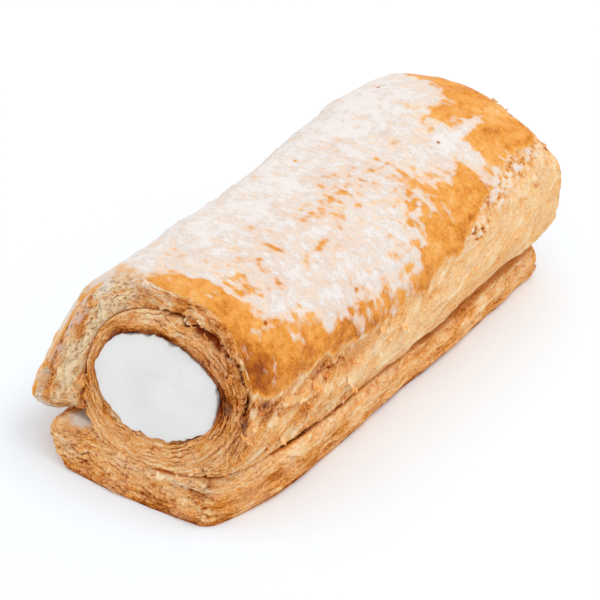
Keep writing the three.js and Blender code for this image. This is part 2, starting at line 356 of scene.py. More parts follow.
def scatter(i, j, k, seed):
    """A repeatable random number from 0 to 1 for each whole-numbered place."""
    h = (i.astype(np.int64) * 73856093) ^ (j.astype(np.int64) * 19349663) ^ (k.astype(np.int64) * 83492791)
    h = (h ^ (seed * 668265263)) & 0x7FFFFFFF
    h = ((h ^ (h >> 13)) * 1274126177) & 0x7FFFFFFF
    h = ((h ^ (h >> 15)) * 1103515245) & 0x7FFFFFFF
    return ((h ^ (h >> 16)) & 0xFFFFFF) / 0x1000000


def rough(a, b=0.0, c=0.0, seed=0):
    """Smooth unevenness between -1 and 1, one swell for each unit of a, b or c."""
    places = np.broadcast_arrays(np.asarray(a, float), b, c)
    cells = [np.floor(p) for p in places]
    fades = [(p - f) ** 3 * ((p - f) * ((p - f) * 6 - 15) + 10) for p, f in zip(places, cells)]
    total = 0
    for corner in range(8):
        step = [corner & 1, (corner >> 1) & 1, (corner >> 2) & 1]
        weight = 1
        for fade, s in zip(fades, step):
            weight = weight * (fade if s else 1 - fade)
        total = total + weight * scatter(*[f + s for f, s in zip(cells, step)], seed)
    return 2 * total - 1


def crumpled(a, b, c, seed, layers=4):
    """Unevenness in several sizes, each half the one before."""
    return sum(rough(a * 2**k, b * 2**k, c * 2**k, seed + k) / 2**k for k in range(layers))


def torn(along, leaf, length, seed):
    """Pieces torn off along a leaf: a random number from -1 to 1 that is the same all along one piece."""
    offset = 40 * scatter(leaf, 0 * leaf, 0 * leaf, seed)
    place = along / length + offset + 0.5 * rough(along / length * 1.7, leaf * 1.7, 0, seed + 1)
    piece = np.floor(place)
    here, after = scatter(piece, leaf, 0 * leaf, seed + 2), scatter(piece + 1, leaf, 0 * leaf, seed + 2)
    return 2 * lerp(here, after, smooth(0.8, 1, place - piece)) - 1


def leaf_stack(across, along, pitch, seed):
    """Leaves cut across: how far each stands out, how open the gap beside it is, its own tone, and the place
    counted in leaves."""
    wander = across / pitch + 0.9 * rough(along / 9, across / 6, 0, seed)
    wander = wander + 0.45 * rough(along / 2.6, across / 2, 0, seed + 1)
    wander = wander + 0.22 * rough(along / 0.8, across / 0.8, 0, seed + 6)
    leaf = np.floor(wander)
    body = 1 - np.abs(2 * (wander - leaf) - 1) ** 3
    jut = 0.6 * rough(along / 4.5, leaf * 5.7, 0, seed + 2) + 0.7 * torn(along, leaf, 4 * pitch, seed + 3)
    parted = smooth(0.15, 0.7, rough(along / (4 * pitch), leaf * 2.9, 5, seed + 4))
    tone = 0.6 * rough(along / 8, leaf * 9.1, 2, seed + 5) + 0.7 * torn(along, leaf, 6 * pitch, seed + 7)
    slit = np.abs(2 * (wander - leaf) - 1) ** 6
    return jut * body, slit * (0.2 + 0.8 * parted), tone, wander * pitch


def scales(a, b, seed, long=1.25, wide=0.8):
    """Torn bits of leaf lying over one another, one for each unit square: how far each place is lifted, the
    shade beside a lifted edge, and the bit's own tone."""
    column, row = np.floor(a + 0 * b), np.floor(b + 0 * a)
    highest = np.full(column.shape, -1.0)
    lift, tone, shade = 0 * highest, 0 * highest, 0 * highest
    bits = []
    for i in (-1, 0, 1):
        for j in (-1, 0, 1):
            c, r = column + i, row + j
            draw = [scatter(c, r, 0 * c + k, seed) for k in range(6)]
            u, v = a - c - draw[0], b - r - draw[1]
            turn = 1.3 * (draw[2] - 0.5)
            u, v = u * np.cos(turn) + v * np.sin(turn), v * np.cos(turn) - u * np.sin(turn)
            way = np.arctan2(v, u)
            ragged = 1 + 0.15 * np.sin(3 * way + 9 * draw[4]) + 0.1 * np.sin(7 * way + 20 * draw[5])
            size = (0.45 + 0.4 * draw[3]) * ragged
            far = np.hypot(u / long, v / wide) / size
            raised = (0.25 + 0.75 * draw[4]) * (0.5 + 0.5 * np.clip(u / (long * size), -1, 1))
            here = (far < 1) & (draw[5] > highest)
            lift, tone = np.where(here, raised, lift), np.where(here, 2 * draw[2] - 1, tone)
            highest = np.where(here, draw[5], highest)
            bits.append((draw[5], far, raised))
    for level, far, raised in bits:
        shade = np.maximum(shade, (level > highest) * (far > 1) * raised * np.exp(-(far - 1) / 0.12))
    return lift, shade, tone


def outward(points, faces):
    """Turns all faces of a closed piece round if it is inside out."""
    volume = 0
    for group in faces:
        for k in range(1, group.shape[1] - 1):
            a, b, c = (points[group[:, i]] for i in (0, k, k + 1))
            volume += np.einsum("ij,ij->i", a, np.cross(b, c)).sum()
    return [group if volume > 0 else group[:, ::-1] for group in faces]


def pastry_piece(name, points, faces, marks, finish, spread=None):
    """A closed mesh from points in millimetres, with its marks at each point and spread, the place on the
    flat strip."""
    mesh = bpy.data.meshes.new(name)
    polygons = [face for group in outward(points, faces) for face in group.tolist()]
    mesh.from_pydata(in_metres(points), [], polygons)
    mesh.polygons.foreach_set("use_smooth", np.ones(len(mesh.polygons), bool))
    for mark, values in marks.items():
        values = np.clip(np.broadcast_to(values, len(points)), -1, 2).astype(np.float32)
        mesh.attributes.new(mark, "FLOAT", "POINT").data.foreach_set("value", values)
    if spread is not None:
        corner = np.zeros(len(mesh.loops), np.int32)
        mesh.loops.foreach_get("vertex_index", corner)
        strip = mesh.uv_layers.new(name="strip")
        strip.data.foreach_set("uv", (spread[corner] * MILLIMETRE).astype(np.float32).ravel())
    mesh.materials.append(finish)
    mesh.update()
    piece = bpy.data.objects.new(name, mesh)
    bpy.context.scene.collection.objects.link(piece)
    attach(piece, "root")
    return piece


def grid_quads(rows, columns, rows_closed=True, columns_closed=True):
    """Faces of a grid of points numbered row by row, which may be closed round either way."""
    row_steps, column_steps = rows if rows_closed else rows - 1, columns if columns_closed else columns - 1
    i, j = np.meshgrid(np.arange(row_steps), np.arange(column_steps), indexing="ij")
    after, beside = (i + 1) % rows, (j + 1) % columns
    corners = (i * columns + j, after * columns + j, after * columns + beside, i * columns + beside)
    return np.stack(corners, -1).reshape(-1, 4)


def put(tree, socket, value):
    """Gives a node's input a value, or another node's output."""
    if isinstance(value, bpy.types.NodeSocket):
        tree.links.new(value, socket)
    else:
        socket.default_value = value


def node(tree, kind, *values, **settings):
    """A node with its first inputs in order and others by name, _ for a space. The rest are its options."""
    made = tree.nodes.new(kind)
    named = {}
    for key, value in settings.items():
        label = key.replace("_", " ")
        if label in made.inputs:
            named[label] = value
        else:
            setattr(made, key, value)
    for place, value in [*enumerate(values), *named.items()]:
        put(tree, made.inputs[place], value)
    return made


def calculated(tree, operation, *values):
    return node(tree, "ShaderNodeMath", *values, operation=operation).outputs[0]


def noise(tree, place, scale, detail, roughness, distortion=0.0):
    made = node(tree, "ShaderNodeTexNoise", place, Scale=scale, Detail=detail, Roughness=roughness)
    made.inputs["Distortion"].default_value = distortion
    return made.outputs["Fac"]


def along_the_strip(tree, scale):
    """Places on the flat strip of dough, drawn out along its leaves."""
    strip = node(tree, "ShaderNodeUVMap", uv_map="strip").outputs["UV"]
    return node(tree, "ShaderNodeMapping", strip, Scale=scale).outputs["Vector"]


def swayed(tree, level, texture, weight):
    """A level that rises and falls with a texture."""
    return calculated(tree, "ADD", level, calculated(tree, "MULTIPLY_ADD", texture, weight, -0.5 * weight))


def eased(tree, value, low, high, most=1.0):
    """How far a value has come from low to high, as a share of the most."""
    made = node(tree, "ShaderNodeMapRange", value, low, high, 0.0, most, interpolation_type="SMOOTHSTEP")
    return made.outputs["Result"]


def mixed(tree, share, first, second, way="MIX"):
    """Two colours mixed by a share of the second one."""
    made = node(tree, "ShaderNodeMix", share, data_type="RGBA", blend_type=way)
    put(tree, made.inputs[6], first)
    put(tree, made.inputs[7], second)
    return made.outputs[2]


def colour_along(tree, value, stops):
    """The colour that belongs to a value, from stops of a position and a colour."""
    made = node(tree, "ShaderNodeValToRGB", value)
    while len(made.color_ramp.elements) < len(stops):
        made.color_ramp.elements.new(0.5)
    for element, (position, colour) in zip(made.color_ramp.elements, stops):
        element.position = position
        element.color = (*colour, 1)
    return made.outputs["Color"]


def new_group(name, inputs, outputs):
    tree = bpy.data.node_groups.new(name, "ShaderNodeTree")
    for way, sockets in (("INPUT", inputs), ("OUTPUT", outputs)):
        for label, kind in sockets.items():
            tree.interface.new_socket(label, in_out=way, socket_type="NodeSocket" + kind)
    return tree, node(tree, "NodeGroupInput").outputs


def make_dough_colour():
    """What baked dough looks like, from how brown a place is and the painted shade where it lies deep between
    leaves.
    """
    tree, given = new_group(
        "dough_colour",
        {"Brownness": "Float", "Depth": "Float", "Crumb": "Float"},
        {"Color": "Color", "Normal": "Vector"},
    )
    place = node(tree, "ShaderNodeTexCoord").outputs["Object"]
    edges = noise(tree, along_the_strip(tree, (2400, 170, 1)), 1, 5, 0.66, 0.5)  # edges of leaves
    grit = noise(tree, place, 3200, 3, 0.6)
    brown = swayed(tree, given["Brownness"], noise(tree, place, 1300, 5, 0.7), 0.6)
    brown = swayed(tree, brown, noise(tree, place, 260, 4, 0.6), 0.2)
    brown = swayed(tree, brown, edges, 1.0)
    brown = swayed(tree, brown, grit, 1.0)
    baked = colour_along(tree, brown, DOUGH_COLOURS)
    rosy = eased(tree, noise(tree, place, 170, 3, 0.6), 0.45, 0.7, 0.32)
    tinted = mixed(tree, rosy, baked, ROSY_DOUGH)
    # Painted shade: the colour is darkened where a place lies deep between leaves, in a pit or in a crevice.
    colour = mixed(tree, given["Depth"], tinted, SHADE_BETWEEN_LEAVES, "MULTIPLY")
    height = calculated(tree, "MULTIPLY_ADD", edges, -1.2, calculated(tree, "MULTIPLY", grit, 0.8))
    relief = node(tree, "ShaderNodeBump", Strength=given["Crumb"], Distance=CRUMB_HEIGHT, Height=height)
    node(tree, "NodeGroupOutput", Color=colour, Normal=relief.outputs["Normal"])
    return tree


def make_icing_sugar():
    """Icing sugar over a crust: white where it lies thick, cloudy and in specks where it lies thin."""
    tree, given = new_group(
        "icing_sugar",
        {"Crust": "Color", "Dusting": "Float"},
        {"Color": "Color", "Cover": "Float"},
    )
    place = node(tree, "ShaderNodeTexCoord").outputs["Object"]
    clouds = noise(tree, place, 620, 6, 0.7, 0.7)
    grains = noise(tree, place, 2300, 4, 0.7)
    strokes = noise(tree, along_the_strip(tree, (480, 1300, 1)), 1, 5, 0.62, 0.5)  # across the roll
    level = given["Dusting"]
    for texture, weight in ((clouds, 1.5), (grains, 1.7), (strokes, 1.2)):
        level = swayed(tree, level, texture, weight)
    sieved = eased(tree, given["Dusting"], 0.0, 0.16)
    patches = calculated(tree, "MULTIPLY", eased(tree, level, 0.2, 0.95, 0.94), sieved)
    film = eased(tree, given["Dusting"], 0.08, 0.6, 0.66)
    cover = calculated(tree, "MAXIMUM", patches, film)
    node(tree, "NodeGroupOutput", Color=mixed(tree, cover, given["Crust"], SUGAR_WHITE), Cover=cover)
    return tree


dough_colour = make_dough_colour()
icing_sugar = make_icing_sugar()


def mark_of(tree, mark):
    return node(tree, "ShaderNodeAttribute", attribute_name=mark).outputs["Fac"]


def new_finish(name):
    finish = bpy.data.materials.new(name)
    finish.use_nodes = True
    return finish, finish.node_tree


def finish_shader(tree, **looks):
    """Gives the material's own shader its looks, by the names of its inputs with _ for a space."""
    for label, value in looks.items():
        put(tree, tree.nodes["Principled BSDF"].inputs[label.replace("_", " ")], value)


def make_cut_leaves(name, crumb, roughness):
    """Puff pastry cut or torn across its leaves: dry and matt, with caramel where it is marked."""
    finish, tree = new_finish(name)
    dough = node(
        tree,
        "ShaderNodeGroup",
        node_tree=dough_colour,
        Brownness=mark_of(tree, "brown"),
        Depth=mark_of(tree, "painted_shade"),
        Crumb=crumb,
    )
    sugar = node(
        tree,
        "ShaderNodeGroup",
        node_tree=icing_sugar,
        Crust=dough.outputs["Color"],
        Dusting=mark_of(tree, "dusting"),
    )
    dullness = node(tree, "ShaderNodeMapRange", mark_of(tree, "gloss"), To_Min=roughness, To_Max=0.3)
    finish_shader(
        tree,
        Base_Color=sugar.outputs["Color"],
        Normal=dough.outputs["Normal"],
        Roughness=dullness.outputs["Result"],
        Specular_IOR_Level=0.05,
    )
    return finish


cut_leaves = make_cut_leaves("cut_leaves", 0.75, 0.68)


def inner_turn_face(angle, end):
    """One cut end of the inner turn, row by row from the opening outwards, with its marks."""
    seed = 20 + 40 * end
    d = degrees_of(angle)
    share = np.linspace(0, 1, TURN_ROWS)[:, None]
    along = angle * 17 + 0 * share
    inner = opening_radius(angle)
    lip = 1 + 0.06 * rough(along[:1] / 1.7, 0, end, seed) * crevice_share(angle)
    reach = share * (turn_reach(angle, end) * lip - inner - 0.2 * crevice_share(angle))
    x = CREAM_X + (inner + reach) * np.cos(angle)
    z = CREAM_Z + (inner + reach) * np.sin(angle)
    jut, gap, tone, across = leaf_stack(reach, along, LEAF_PITCH, seed)
    fine_jut, fine_gap, fine_tone = leaf_stack(reach, along, 0.42 * LEAF_PITCH, seed + 9)[:3]
    split = 1 + 1.8 * bump(d, 12, 42)  # the leaves have come apart most on the right
    relief = split * (0.2 * jut + 0.12 * fine_jut - 0.55 * gap) - 0.2 * fine_gap
    sunk = 0.5 + 2.2 * bump(d, -148, 34) + 0.8 * bump(d, 178, 20)
    relief = relief - sunk * np.exp(-reach / 1.5) - 1.2 * crevice_share(angle) * smooth(0.93, 1, share)
    relief = relief + 0.25 * crumpled(x / 7, z / 7, end, seed + 3)
    top = smooth(-20, 12, d) * (1 - smooth(148, 172, d))
    streaks = smooth(0.0, 0.6, rough(reach / 0.55, along / 4.5, end, seed + 4))
    caramel = top * (0.5 * np.exp(-((reach / 1.1) ** 2)) + 0.12 * np.exp(-((reach / 4) ** 2)))
    caramel = caramel + 0.42 * streaks * bump(d, 12, 30) * np.exp(-((reach / 5) ** 2))
    caramel = caramel + 0.02 * (1 - smooth(-30, 0, d)) - 0.1 * bump(d, 100, 40) * smooth(2, 4, reach)
    if end == 0:
        caramel = caramel + spots(x, z, FRONT_CARAMEL)
    # Leaves that stand out are painted paler: a painted highlight.
    brown = 0.31 + 0.09 * tone + 0.08 * fine_tone + caramel - 0.1 * jut - 0.07 * fine_jut
    # Painted shade in the gaps between leaves, in the mouth of the crevice and next to the cream.
    painted_shade = split * (1.1 * gap + 0.5 * fine_gap) + 0.8 * crevice_share(angle) * smooth(0.95, 1, share)
    painted_shade = painted_shade + 0.4 * np.exp(-reach / 0.4)
    gloss = np.clip(1.6 * caramel, 0, 0.9)
    return on_end(x, z, relief, end), brown, painted_shade, gloss, across, along


turn_angles = np.linspace(-np.pi, np.pi, TURN_COLUMNS, endpoint=False)
turn_front = inner_turn_face(turn_angles, 0)
turn_back = inner_turn_face(turn_angles, 1)
turn_rows = [turn_front[0]]
turn_marks = [list(turn_front[1:])]
for share in (0.012, 0.03, 0.06, 0.2, 0.5, 0.8, 0.94, 0.97, 0.988):
    swell = 0.5 * smooth(0.012, 0.05, min(share, 1 - share))  # the crevice closes a few millimetres in
    radius = turn_reach(turn_angles, share) - 0.2 * crevice_share(turn_angles) + swell
    lumps = rough(turn_angles * 13, share * 80, 0, 31)  # the leaf inside the crevice is torn too
    radius = radius + 0.3 * lumps * crevice_share(turn_angles)
    row = lerp(turn_front[0][-1], turn_back[0][-1], share)
    row[:, 0] = CREAM_X + radius * np.cos(turn_angles)
    row[:, 2] = CREAM_Z + radius * np.sin(turn_angles)
    turn_rows.append(row[None])
    # Inside the crevice: browner, and in full painted shade.
    turn_marks.append([np.full((1, TURN_COLUMNS), v) for v in (0.75, 1, 0, 0, 0)])
turn_rows.append(turn_back[0][::-1])
turn_marks.append([m[::-1] for m in turn_back[1:]])
for share in (0.98, 0.9, 0.5, 0.1, 0.02):
    row = lerp(turn_front[0][0], turn_back[0][0], share)
    turn_rows.append(row[None])
    # Along the cream: caramel, glossy and in painted shade.
    turn_marks.append([np.full((1, TURN_COLUMNS), v) for v in (0.8, 0.4, 0.6, 0, 0)])
turn_points = np.concatenate(turn_rows)
brown, painted_shade, gloss, across, along = (
    np.concatenate([np.broadcast_to(m[k], (*m[0].shape,)) for m in turn_marks]).ravel() for k in range(5)
)
inner_turn = pastry_piece(
    "inner_turn",
    turn_points.reshape(-1, 3),
    [grid_quads(len(turn_points), TURN_COLUMNS)],
    {"brown": brown, "painted_shade": painted_shade, "gloss": gloss},
    cut_leaves,
    spread=np.stack([across, along], -1),
)
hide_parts("pastry")

# The outer turn. The same strip goes on over the top and down the left side, where its loose end hangs as a
# flap. Its cut ends show torn leaves over the crevice on the right and an open, crumbly wall on the left.
OUTER_COLUMNS = 400
OUTER_ROWS = 66
CRUST_THICKNESS = 0.6


def cells(a, b, seed):
    """How near a place is to the nearest of many scattered points, and to the next, and a random number of
    its own for each point's surroundings."""
    near = np.full(np.broadcast(a, b).shape, 9.0)
    far, own = near.copy(), near.copy()
    column, row = np.floor(a), np.floor(b)
    for i in (-1, 0, 1):
        for j in (-1, 0, 1):
            c, r = column + i, row + j
            distance = np.hypot(a - c - scatter(c, r, 0 * c, seed), b - r - scatter(c, r, 0 * c + 1, seed))
            own = np.where(distance < near, scatter(c, r, 0 * c + 2, seed), own)
            far = np.minimum(far, np.maximum(near, distance))
            near = np.minimum(near, distance)
    return near, far, own


def rim_tuck(round_skin):
    """How far the skin turns in at the front rim, at a length round the skin from the crown."""
    return 0.5 + 0.8 * smooth(-12, 2, round_skin)


def rim_rounding(round_skin):
    """How far the front rim is rounded back, at a length round the skin from the crown."""
    return 0.25 + 1.2 * smooth(-6, 10, round_skin)


def crust_unevenness(round_skin, t):
    """Blisters and dips of the baked skin, and the way it turns in at the two rims."""
    tuck = rim_tuck(round_skin) * np.exp(-t / 0.014) + 1.0 * np.exp(-(1 - t) / 0.03)
    return 0.4 * crumpled(round_skin / 11, t * 11, 0, 71, 3) - tuck


def outer_line(t, columns=OUTER_COLUMNS):
    """The roll's skin in the section t, from the seam over the top to the notch under the flap, evenly
    spaced, the angle round the cream that belongs to each of its points, and its length from the crown."""
    places = np.linspace(4.0, 17.5, 1200)
    outline = section_curve(np.array([t]), places)[0]
    length = np.concatenate([[0], np.cumsum(np.hypot(*np.diff(outline, axis=0).T))])
    even = np.linspace(0, length[-1], columns)
    line = np.stack([np.interp(even, length, outline[:, k]) for k in (0, 1)], -1)
    slope = np.gradient(line, axis=0)
    normal = np.stack([slope[:, 1], -slope[:, 0]], -1) / np.hypot(*slope.T)[:, None]
    around = np.unwrap(np.arctan2(line[:, 1] - CREAM_Z, line[:, 0] - CREAM_X))
    around = np.clip(np.maximum.accumulate(around), np.radians(-52), np.radians(214))
    wide = np.pad(around, 20, mode="edge")
    around = np.convolve(wide, np.ones(41) / 41, "valid")
    straight = np.linspace(around[0], around[-1], columns)
    return line, normal, 0.85 * around + 0.15 * straight, even - np.interp(11.5, places, length)


def outer_turn_face(end):
    """One cut end of the outer turn, row by row from the crevice out to the skin, with its marks."""
    seed = 60 + 40 * end
    line, normal, angle, along = outer_line(end)
    line = line + normal * ((crust_unevenness(along, end) - 0.45) * smooth(0, 7, along - along[0]))[:, None]
    d = np.degrees(angle)
    crevice = crevice_share(angle)
    ragged = 0.9 * torn(along, 0 * along, 2.6, seed) + 0.45 * torn(along, 0 * along, 1.0, seed + 12)
    ragged = np.minimum(ragged, 0.3)
    tucked = 1 - smooth(-25, 5, d)  # low on the right its leaves run on into the inner turn's
    radius = turn_reach(angle, end) + 0.2 - 0.9 * tucked + crevice * (0.15 + ragged)
    start = np.stack([CREAM_X + radius * np.cos(angle), CREAM_Z + radius * np.sin(angle)], -1)
    share = np.linspace(0, 1, OUTER_ROWS)[:, None]
    place = lerp(start, line, share[..., None])
    x, z = place[..., 0], place[..., 1]
    thick = np.hypot(*(line - start).T)
    under = (1 - share) * thick  # how far below the skin
    wall = smooth(92, 128, d)  # the crumbly wall on the left
    jut, gap, tone, across = leaf_stack(under, along + 0 * under, 1.15, seed)
    fine_jut, fine_gap, fine_tone = leaf_stack(under, along + 0 * under, 0.5, seed + 9)[:3]
    warp_a, warp_b = rough(x / 2.4, z / 2.4, 1, seed + 4), rough(x / 2.9, z / 2.9, 6, seed + 4)
    run = along + 0 * under
    near, far, own = cells(under / 0.8 + 1.2 * warp_a, run / 1.5 + 1.0 * warp_b, seed + 5)
    film = 1 - smooth(0.03, 0.3, far - near)  # 1 on the thin walls between two bubbles
    bubble = (1 - film) * smooth(0.55, 0.95, own)
    near, far, own = cells(under / 0.5 + 1.3 * warp_b, run / 0.8 + 1.1 * warp_a, seed + 6)
    pinhole = smooth(0.05, 0.5, far - near) * smooth(0.7, 0.93, own)
    groove = wall * bump(under, 4.6, 1.3)  # the wall is most open just inside the glazed rim
    relief = (1 - wall) * (0.4 * jut + 0.2 * fine_jut - 0.6 * gap - 0.15 * fine_gap)
    holes = 0.3 * gap + 0.6 * bubble + 0.5 * pinhole + 0.4 * groove
    relief = relief + wall * (0.15 + 0.4 * jut + 0.15 * fine_jut - holes)
    relief = relief + 0.45 * crumpled(x / 5, z / 5, end, seed + 2)
    lip = np.exp(-(share * thick) / 0.45)
    hanging = crevice * smooth(-0.3, -1, ragged)  # torn shards that hang over the crevice
    relief = relief - (1.2 * crevice + 0.5) * lip * (1 - tucked) * (1 - hanging) + 0.7 * hanging * lip
    lift, shade, scale_tone = scales(run / 2.6, under / 1.5 + 0.6 * warp_a, seed + 13)
    left_rim = smooth(4.0, 2.8, under + 0.6 * warp_b)  # the glazed skin comes round the edge
    left_rim = left_rim * smooth(112, 140, d)
    relief = relief + 0.5 * lift * (1 - left_rim)
    relief = relief * smooth(0, 0.5, under) - rim_rounding(along) * np.exp(-under / 1.3)
    shard = (1 - wall) * smooth(0, 25, d)
    calm = 1 - 0.35 * smooth(70, 110, d)
    # Leaves that stand out are painted paler: a painted highlight.
    brown = 0.34 + calm * (0.15 * tone + 0.12 * fine_tone - 0.1 * jut)
    brown = brown + shard * (0.06 + 0.2 * rough(x / 2.4, z / 2.4, 4, seed + 7)) + 0.14 * calm * scale_tone
    stain = rough(x / 5, z / 5, 9, seed + 8)
    # On the wall, bubbles and pinholes are painted browner: painted shade in them.
    brown = brown + wall * (0.1 * bubble + 0.3 * pinhole - 0.24 + 0.4 * stain + 0.12 * groove)
    brown = brown - 0.1 * bump(d, 95, 30) + 0.1 * (1 - smooth(-20, 0, d))
    brown = lerp(brown, 0.27 + 0.2 * stain + 0.06 * scale_tone - 0.1 * smooth(22, 12, z), left_rim)
    # Painted shade: in gaps, bubbles, pinholes and the groove, beside lifted bits, over the crevice and at
    # the wall's inner edge.
    wall_hole_shade = 0.1 * bubble + 0.45 * pinhole + 0.3 * gap + 0.1 * groove
    painted_shade = (1 - wall) * (0.6 * gap + 0.25 * fine_gap) + wall * wall_hole_shade
    painted_shade = calm * (painted_shade + 0.6 * shade)
    painted_shade = painted_shade + 0.35 * shard * smooth(0.1, 0.6, rough(x / 1.6, z / 1.1, 5, seed + 14))
    painted_shade = painted_shade * (1 - 0.8 * left_rim)
    painted_shade = painted_shade + 0.8 * crevice * lip * (1 - tucked) + 0.3 * wall * np.exp(-(share * thick) / 0.5)
    gloss = 0.4 * shard * smooth(0.0, 0.5, rough(x / 3, z / 3, 8, seed))
    sugar = 0.5 * smooth(40, 45.5, z) * (1 - smooth(-1, 9, x))
    sugar = sugar + (0.46 + 0.1 * smooth(22, 12, z)) * left_rim
    sugar = sugar + 0.22 * rough(x / 2, z / 2, 3, seed + 11) - 0.2
    if end == 0:
        brown = brown + 0.5 * spot(x, z, 26.8, 26, 0.8, 2) + 0.2 * spot(x, z, 26.5, 24, 2, 5)
        brown = brown + 0.3 * wall * np.exp(-(share * thick) / 1.1) + 0.24 * spot(x, z, -25, 27, 1.6, 6)
        # Folds on the left: sunk ones are painted browner and raised ones paler, a painted shade and
        # highlight.
        for x_high, z_high, x_low, z_low, width, raised, browned in (
            (-17, 29, -21.5, 12.5, 1.0, 0.5, -0.2),
            (-18.2, 38, -19.3, 28, 0.8, -0.7, 0.2),
            (-16, 37, -15.2, 29, 0.6, -0.4, 0.12),
            (-22.5, 34, -25.5, 18, 0.8, -0.4, 0.1),
            (-24.5, 24, -27.5, 12, 1.0, 0.3, -0.12),
            (-9, 42.5, -16.5, 37.5, 0.6, -0.4, 0.14),
        ):
            down = np.clip((z_high - z) / (z_high - z_low), 0, 1)
            off = np.hypot(x - lerp(x_high, x_low, down), z - lerp(z_high, z_low, down))
            line_share = bump(off + 0.5 * warp_a, 0, width)
            relief = relief + raised * line_share
            brown = brown + browned * line_share
        relief = relief - 1.6 * spot(x, z, -16, 12.5, 4, 2.2)
    sugar = sugar - 0.5 * np.clip(painted_shade, 0, 1)  # it lies on what stands out
    return on_end(x, z, relief, end), brown, painted_shade, gloss, sugar, across, run


def capped_strip_faces(rows, columns, first_point):
    """Faces of a tube of rows, closed round the rows, with a point that closes each of its two open ends."""
    i, j = np.meshgrid(np.arange(rows), np.arange(columns - 1), indexing="ij")
    after = (i + 1) % rows
    quads = np.stack([i * columns + j, after * columns + j, after * columns + j + 1, i * columns + j + 1], -1)
    r = np.arange(rows)
    n = (r + 1) % rows
    start = np.stack([n * columns, r * columns, np.full(rows, first_point)], -1)
    last = columns - 1
    end = np.stack([r * columns + last, n * columns + last, np.full(rows, first_point + 1)], -1)
    return [quads.reshape(-1, 4), np.concatenate([start, end])]


outer_front = outer_turn_face(0)
outer_back = outer_turn_face(1)
outer_rows = [outer_front[0]]
outer_marks = [list(outer_front[1:])]
for t in (0.02, 0.06, 0.15, 0.3, 0.5, 0.7, 0.85, 0.94, 0.98):
    line, normal, angle, along = outer_line(t)
    line = line - normal * (CRUST_THICKNESS + 0.5)
    y = lerp(front_depth(*line.T), back_depth(*line.T), t)
    outer_rows.append(np.stack([line[:, 0], y, line[:, 1]], -1)[None])
    # The inside of the skin, in painted shade.
    outer_marks.append([np.full((1, OUTER_COLUMNS), v) for v in (0.4, 0.3, 0, -1, 0, 0)])
outer_rows.append(outer_back[0][::-1])
outer_marks.append([m[::-1] for m in outer_back[1:]])
for t in (0.98, 0.95, 0.8, 0.5, 0.2, 0.05, 0.02):
    line, normal, angle, along = outer_line(t)
    shut = 0.6 * smooth(0.01, 0.05, min(t, 1 - t))
    radius = turn_reach(angle, t) + 0.2 - shut + crevice_share(angle) * 0.45 * (shut < 0.3)
    x, z = CREAM_X + radius * np.cos(angle), CREAM_Z + radius * np.sin(angle)
    outer_rows.append(np.stack([x, lerp(front_depth(x, z), back_depth(x, z), t), z], -1)[None])
    # Inside the crevice: browner, and in full painted shade.
    outer_marks.append([np.full((1, OUTER_COLUMNS), v) for v in (0.95, 1, 0, -1, 0, 0)])
outer_points = np.concatenate(outer_rows)
brown, painted_shade, gloss, sugar, across, along = (
    np.concatenate([m[k] for m in outer_marks]).ravel() for k in range(6)
)
end_points = outer_points[:, [0, -1]].mean(0)
outer_turn = pastry_piece(
    "outer_turn",
    np.concatenate([outer_points.reshape(-1, 3), end_points]),
    capped_strip_faces(len(outer_points), OUTER_COLUMNS, outer_points.shape[0] * OUTER_COLUMNS),
    {
        "brown": np.append(brown, [0.5, 0.5]),
        "painted_shade": np.append(painted_shade, [0.5, 0.5]),
        "gloss": np.append(gloss, [0, 0]),
        "dusting": np.append(sugar, [0, 0]),
    },
    cut_leaves,
    spread=np.concatenate([np.stack([across, along], -1), np.zeros((2, 2))]),
)
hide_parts("pastry")

# The side leaves. Below the glazed top leaf the right wall is pale and unglazed: thin leaves that
# overlap like draped cloth, are drawn down towards the front, and go under the roll into the seam over the
# base.
SIDE_ROWS = 136
SIDE_COLUMNS = 600
GLAZE_EDGE = [  # at each share of the length, how far round from the crown the glaze ends, right being minus
    [0, -41],
    [0.04, -43.7],
    [0.08, -45.8],
    [0.12, -45.8],
    [0.165, -45.4],
    [0.2, -44.4],
    [0.25, -45.8],
    [0.3, -46.4],
    [0.36, -46.8],
    [0.42, -48],
    [0.46, -46],
    [0.5, -46.4],
    [0.535, -48.4],
    [0.56, -45],
    [0.6, -44.2],
    [0.63, -45.6],
    [0.66, -43.2],
    [0.7, -41.2],
    [0.73, -39.3],
    [0.78, -37.6],
    [0.85, -35.7],
    [0.9, -34.7],
    [1, -34],
]


def glaze_edge(t):
    """Where the glazed top leaf ends on the right, counted round the skin from the crown."""
    edge = np.interp(t, *np.array(GLAZE_EDGE).T)
    return edge + 0.75 * rough(t * 62, 1, 0, 91) + 0.5 * rough(t * 170, 2, 0, 92)


def skin_lines(t):
    """The roll's outline in each section t: its length from the crown and its points and outward normals."""
    q = np.linspace(4.1, 17.2, 900)
    outline = section_curve(t, q)
    steps = np.hypot(*np.moveaxis(np.diff(outline, axis=1), 2, 0))
    length = np.concatenate([np.zeros((len(t), 1)), np.cumsum(steps, 1)], 1)
    crown = np.array([np.interp(11.5, q, row) for row in length])
    slope = np.gradient(outline, axis=1)
    slope = slope / np.hypot(slope[..., 0], slope[..., 1])[..., None]
    return length - crown[:, None], outline, np.stack([slope[..., 1], -slope[..., 0]], -1)


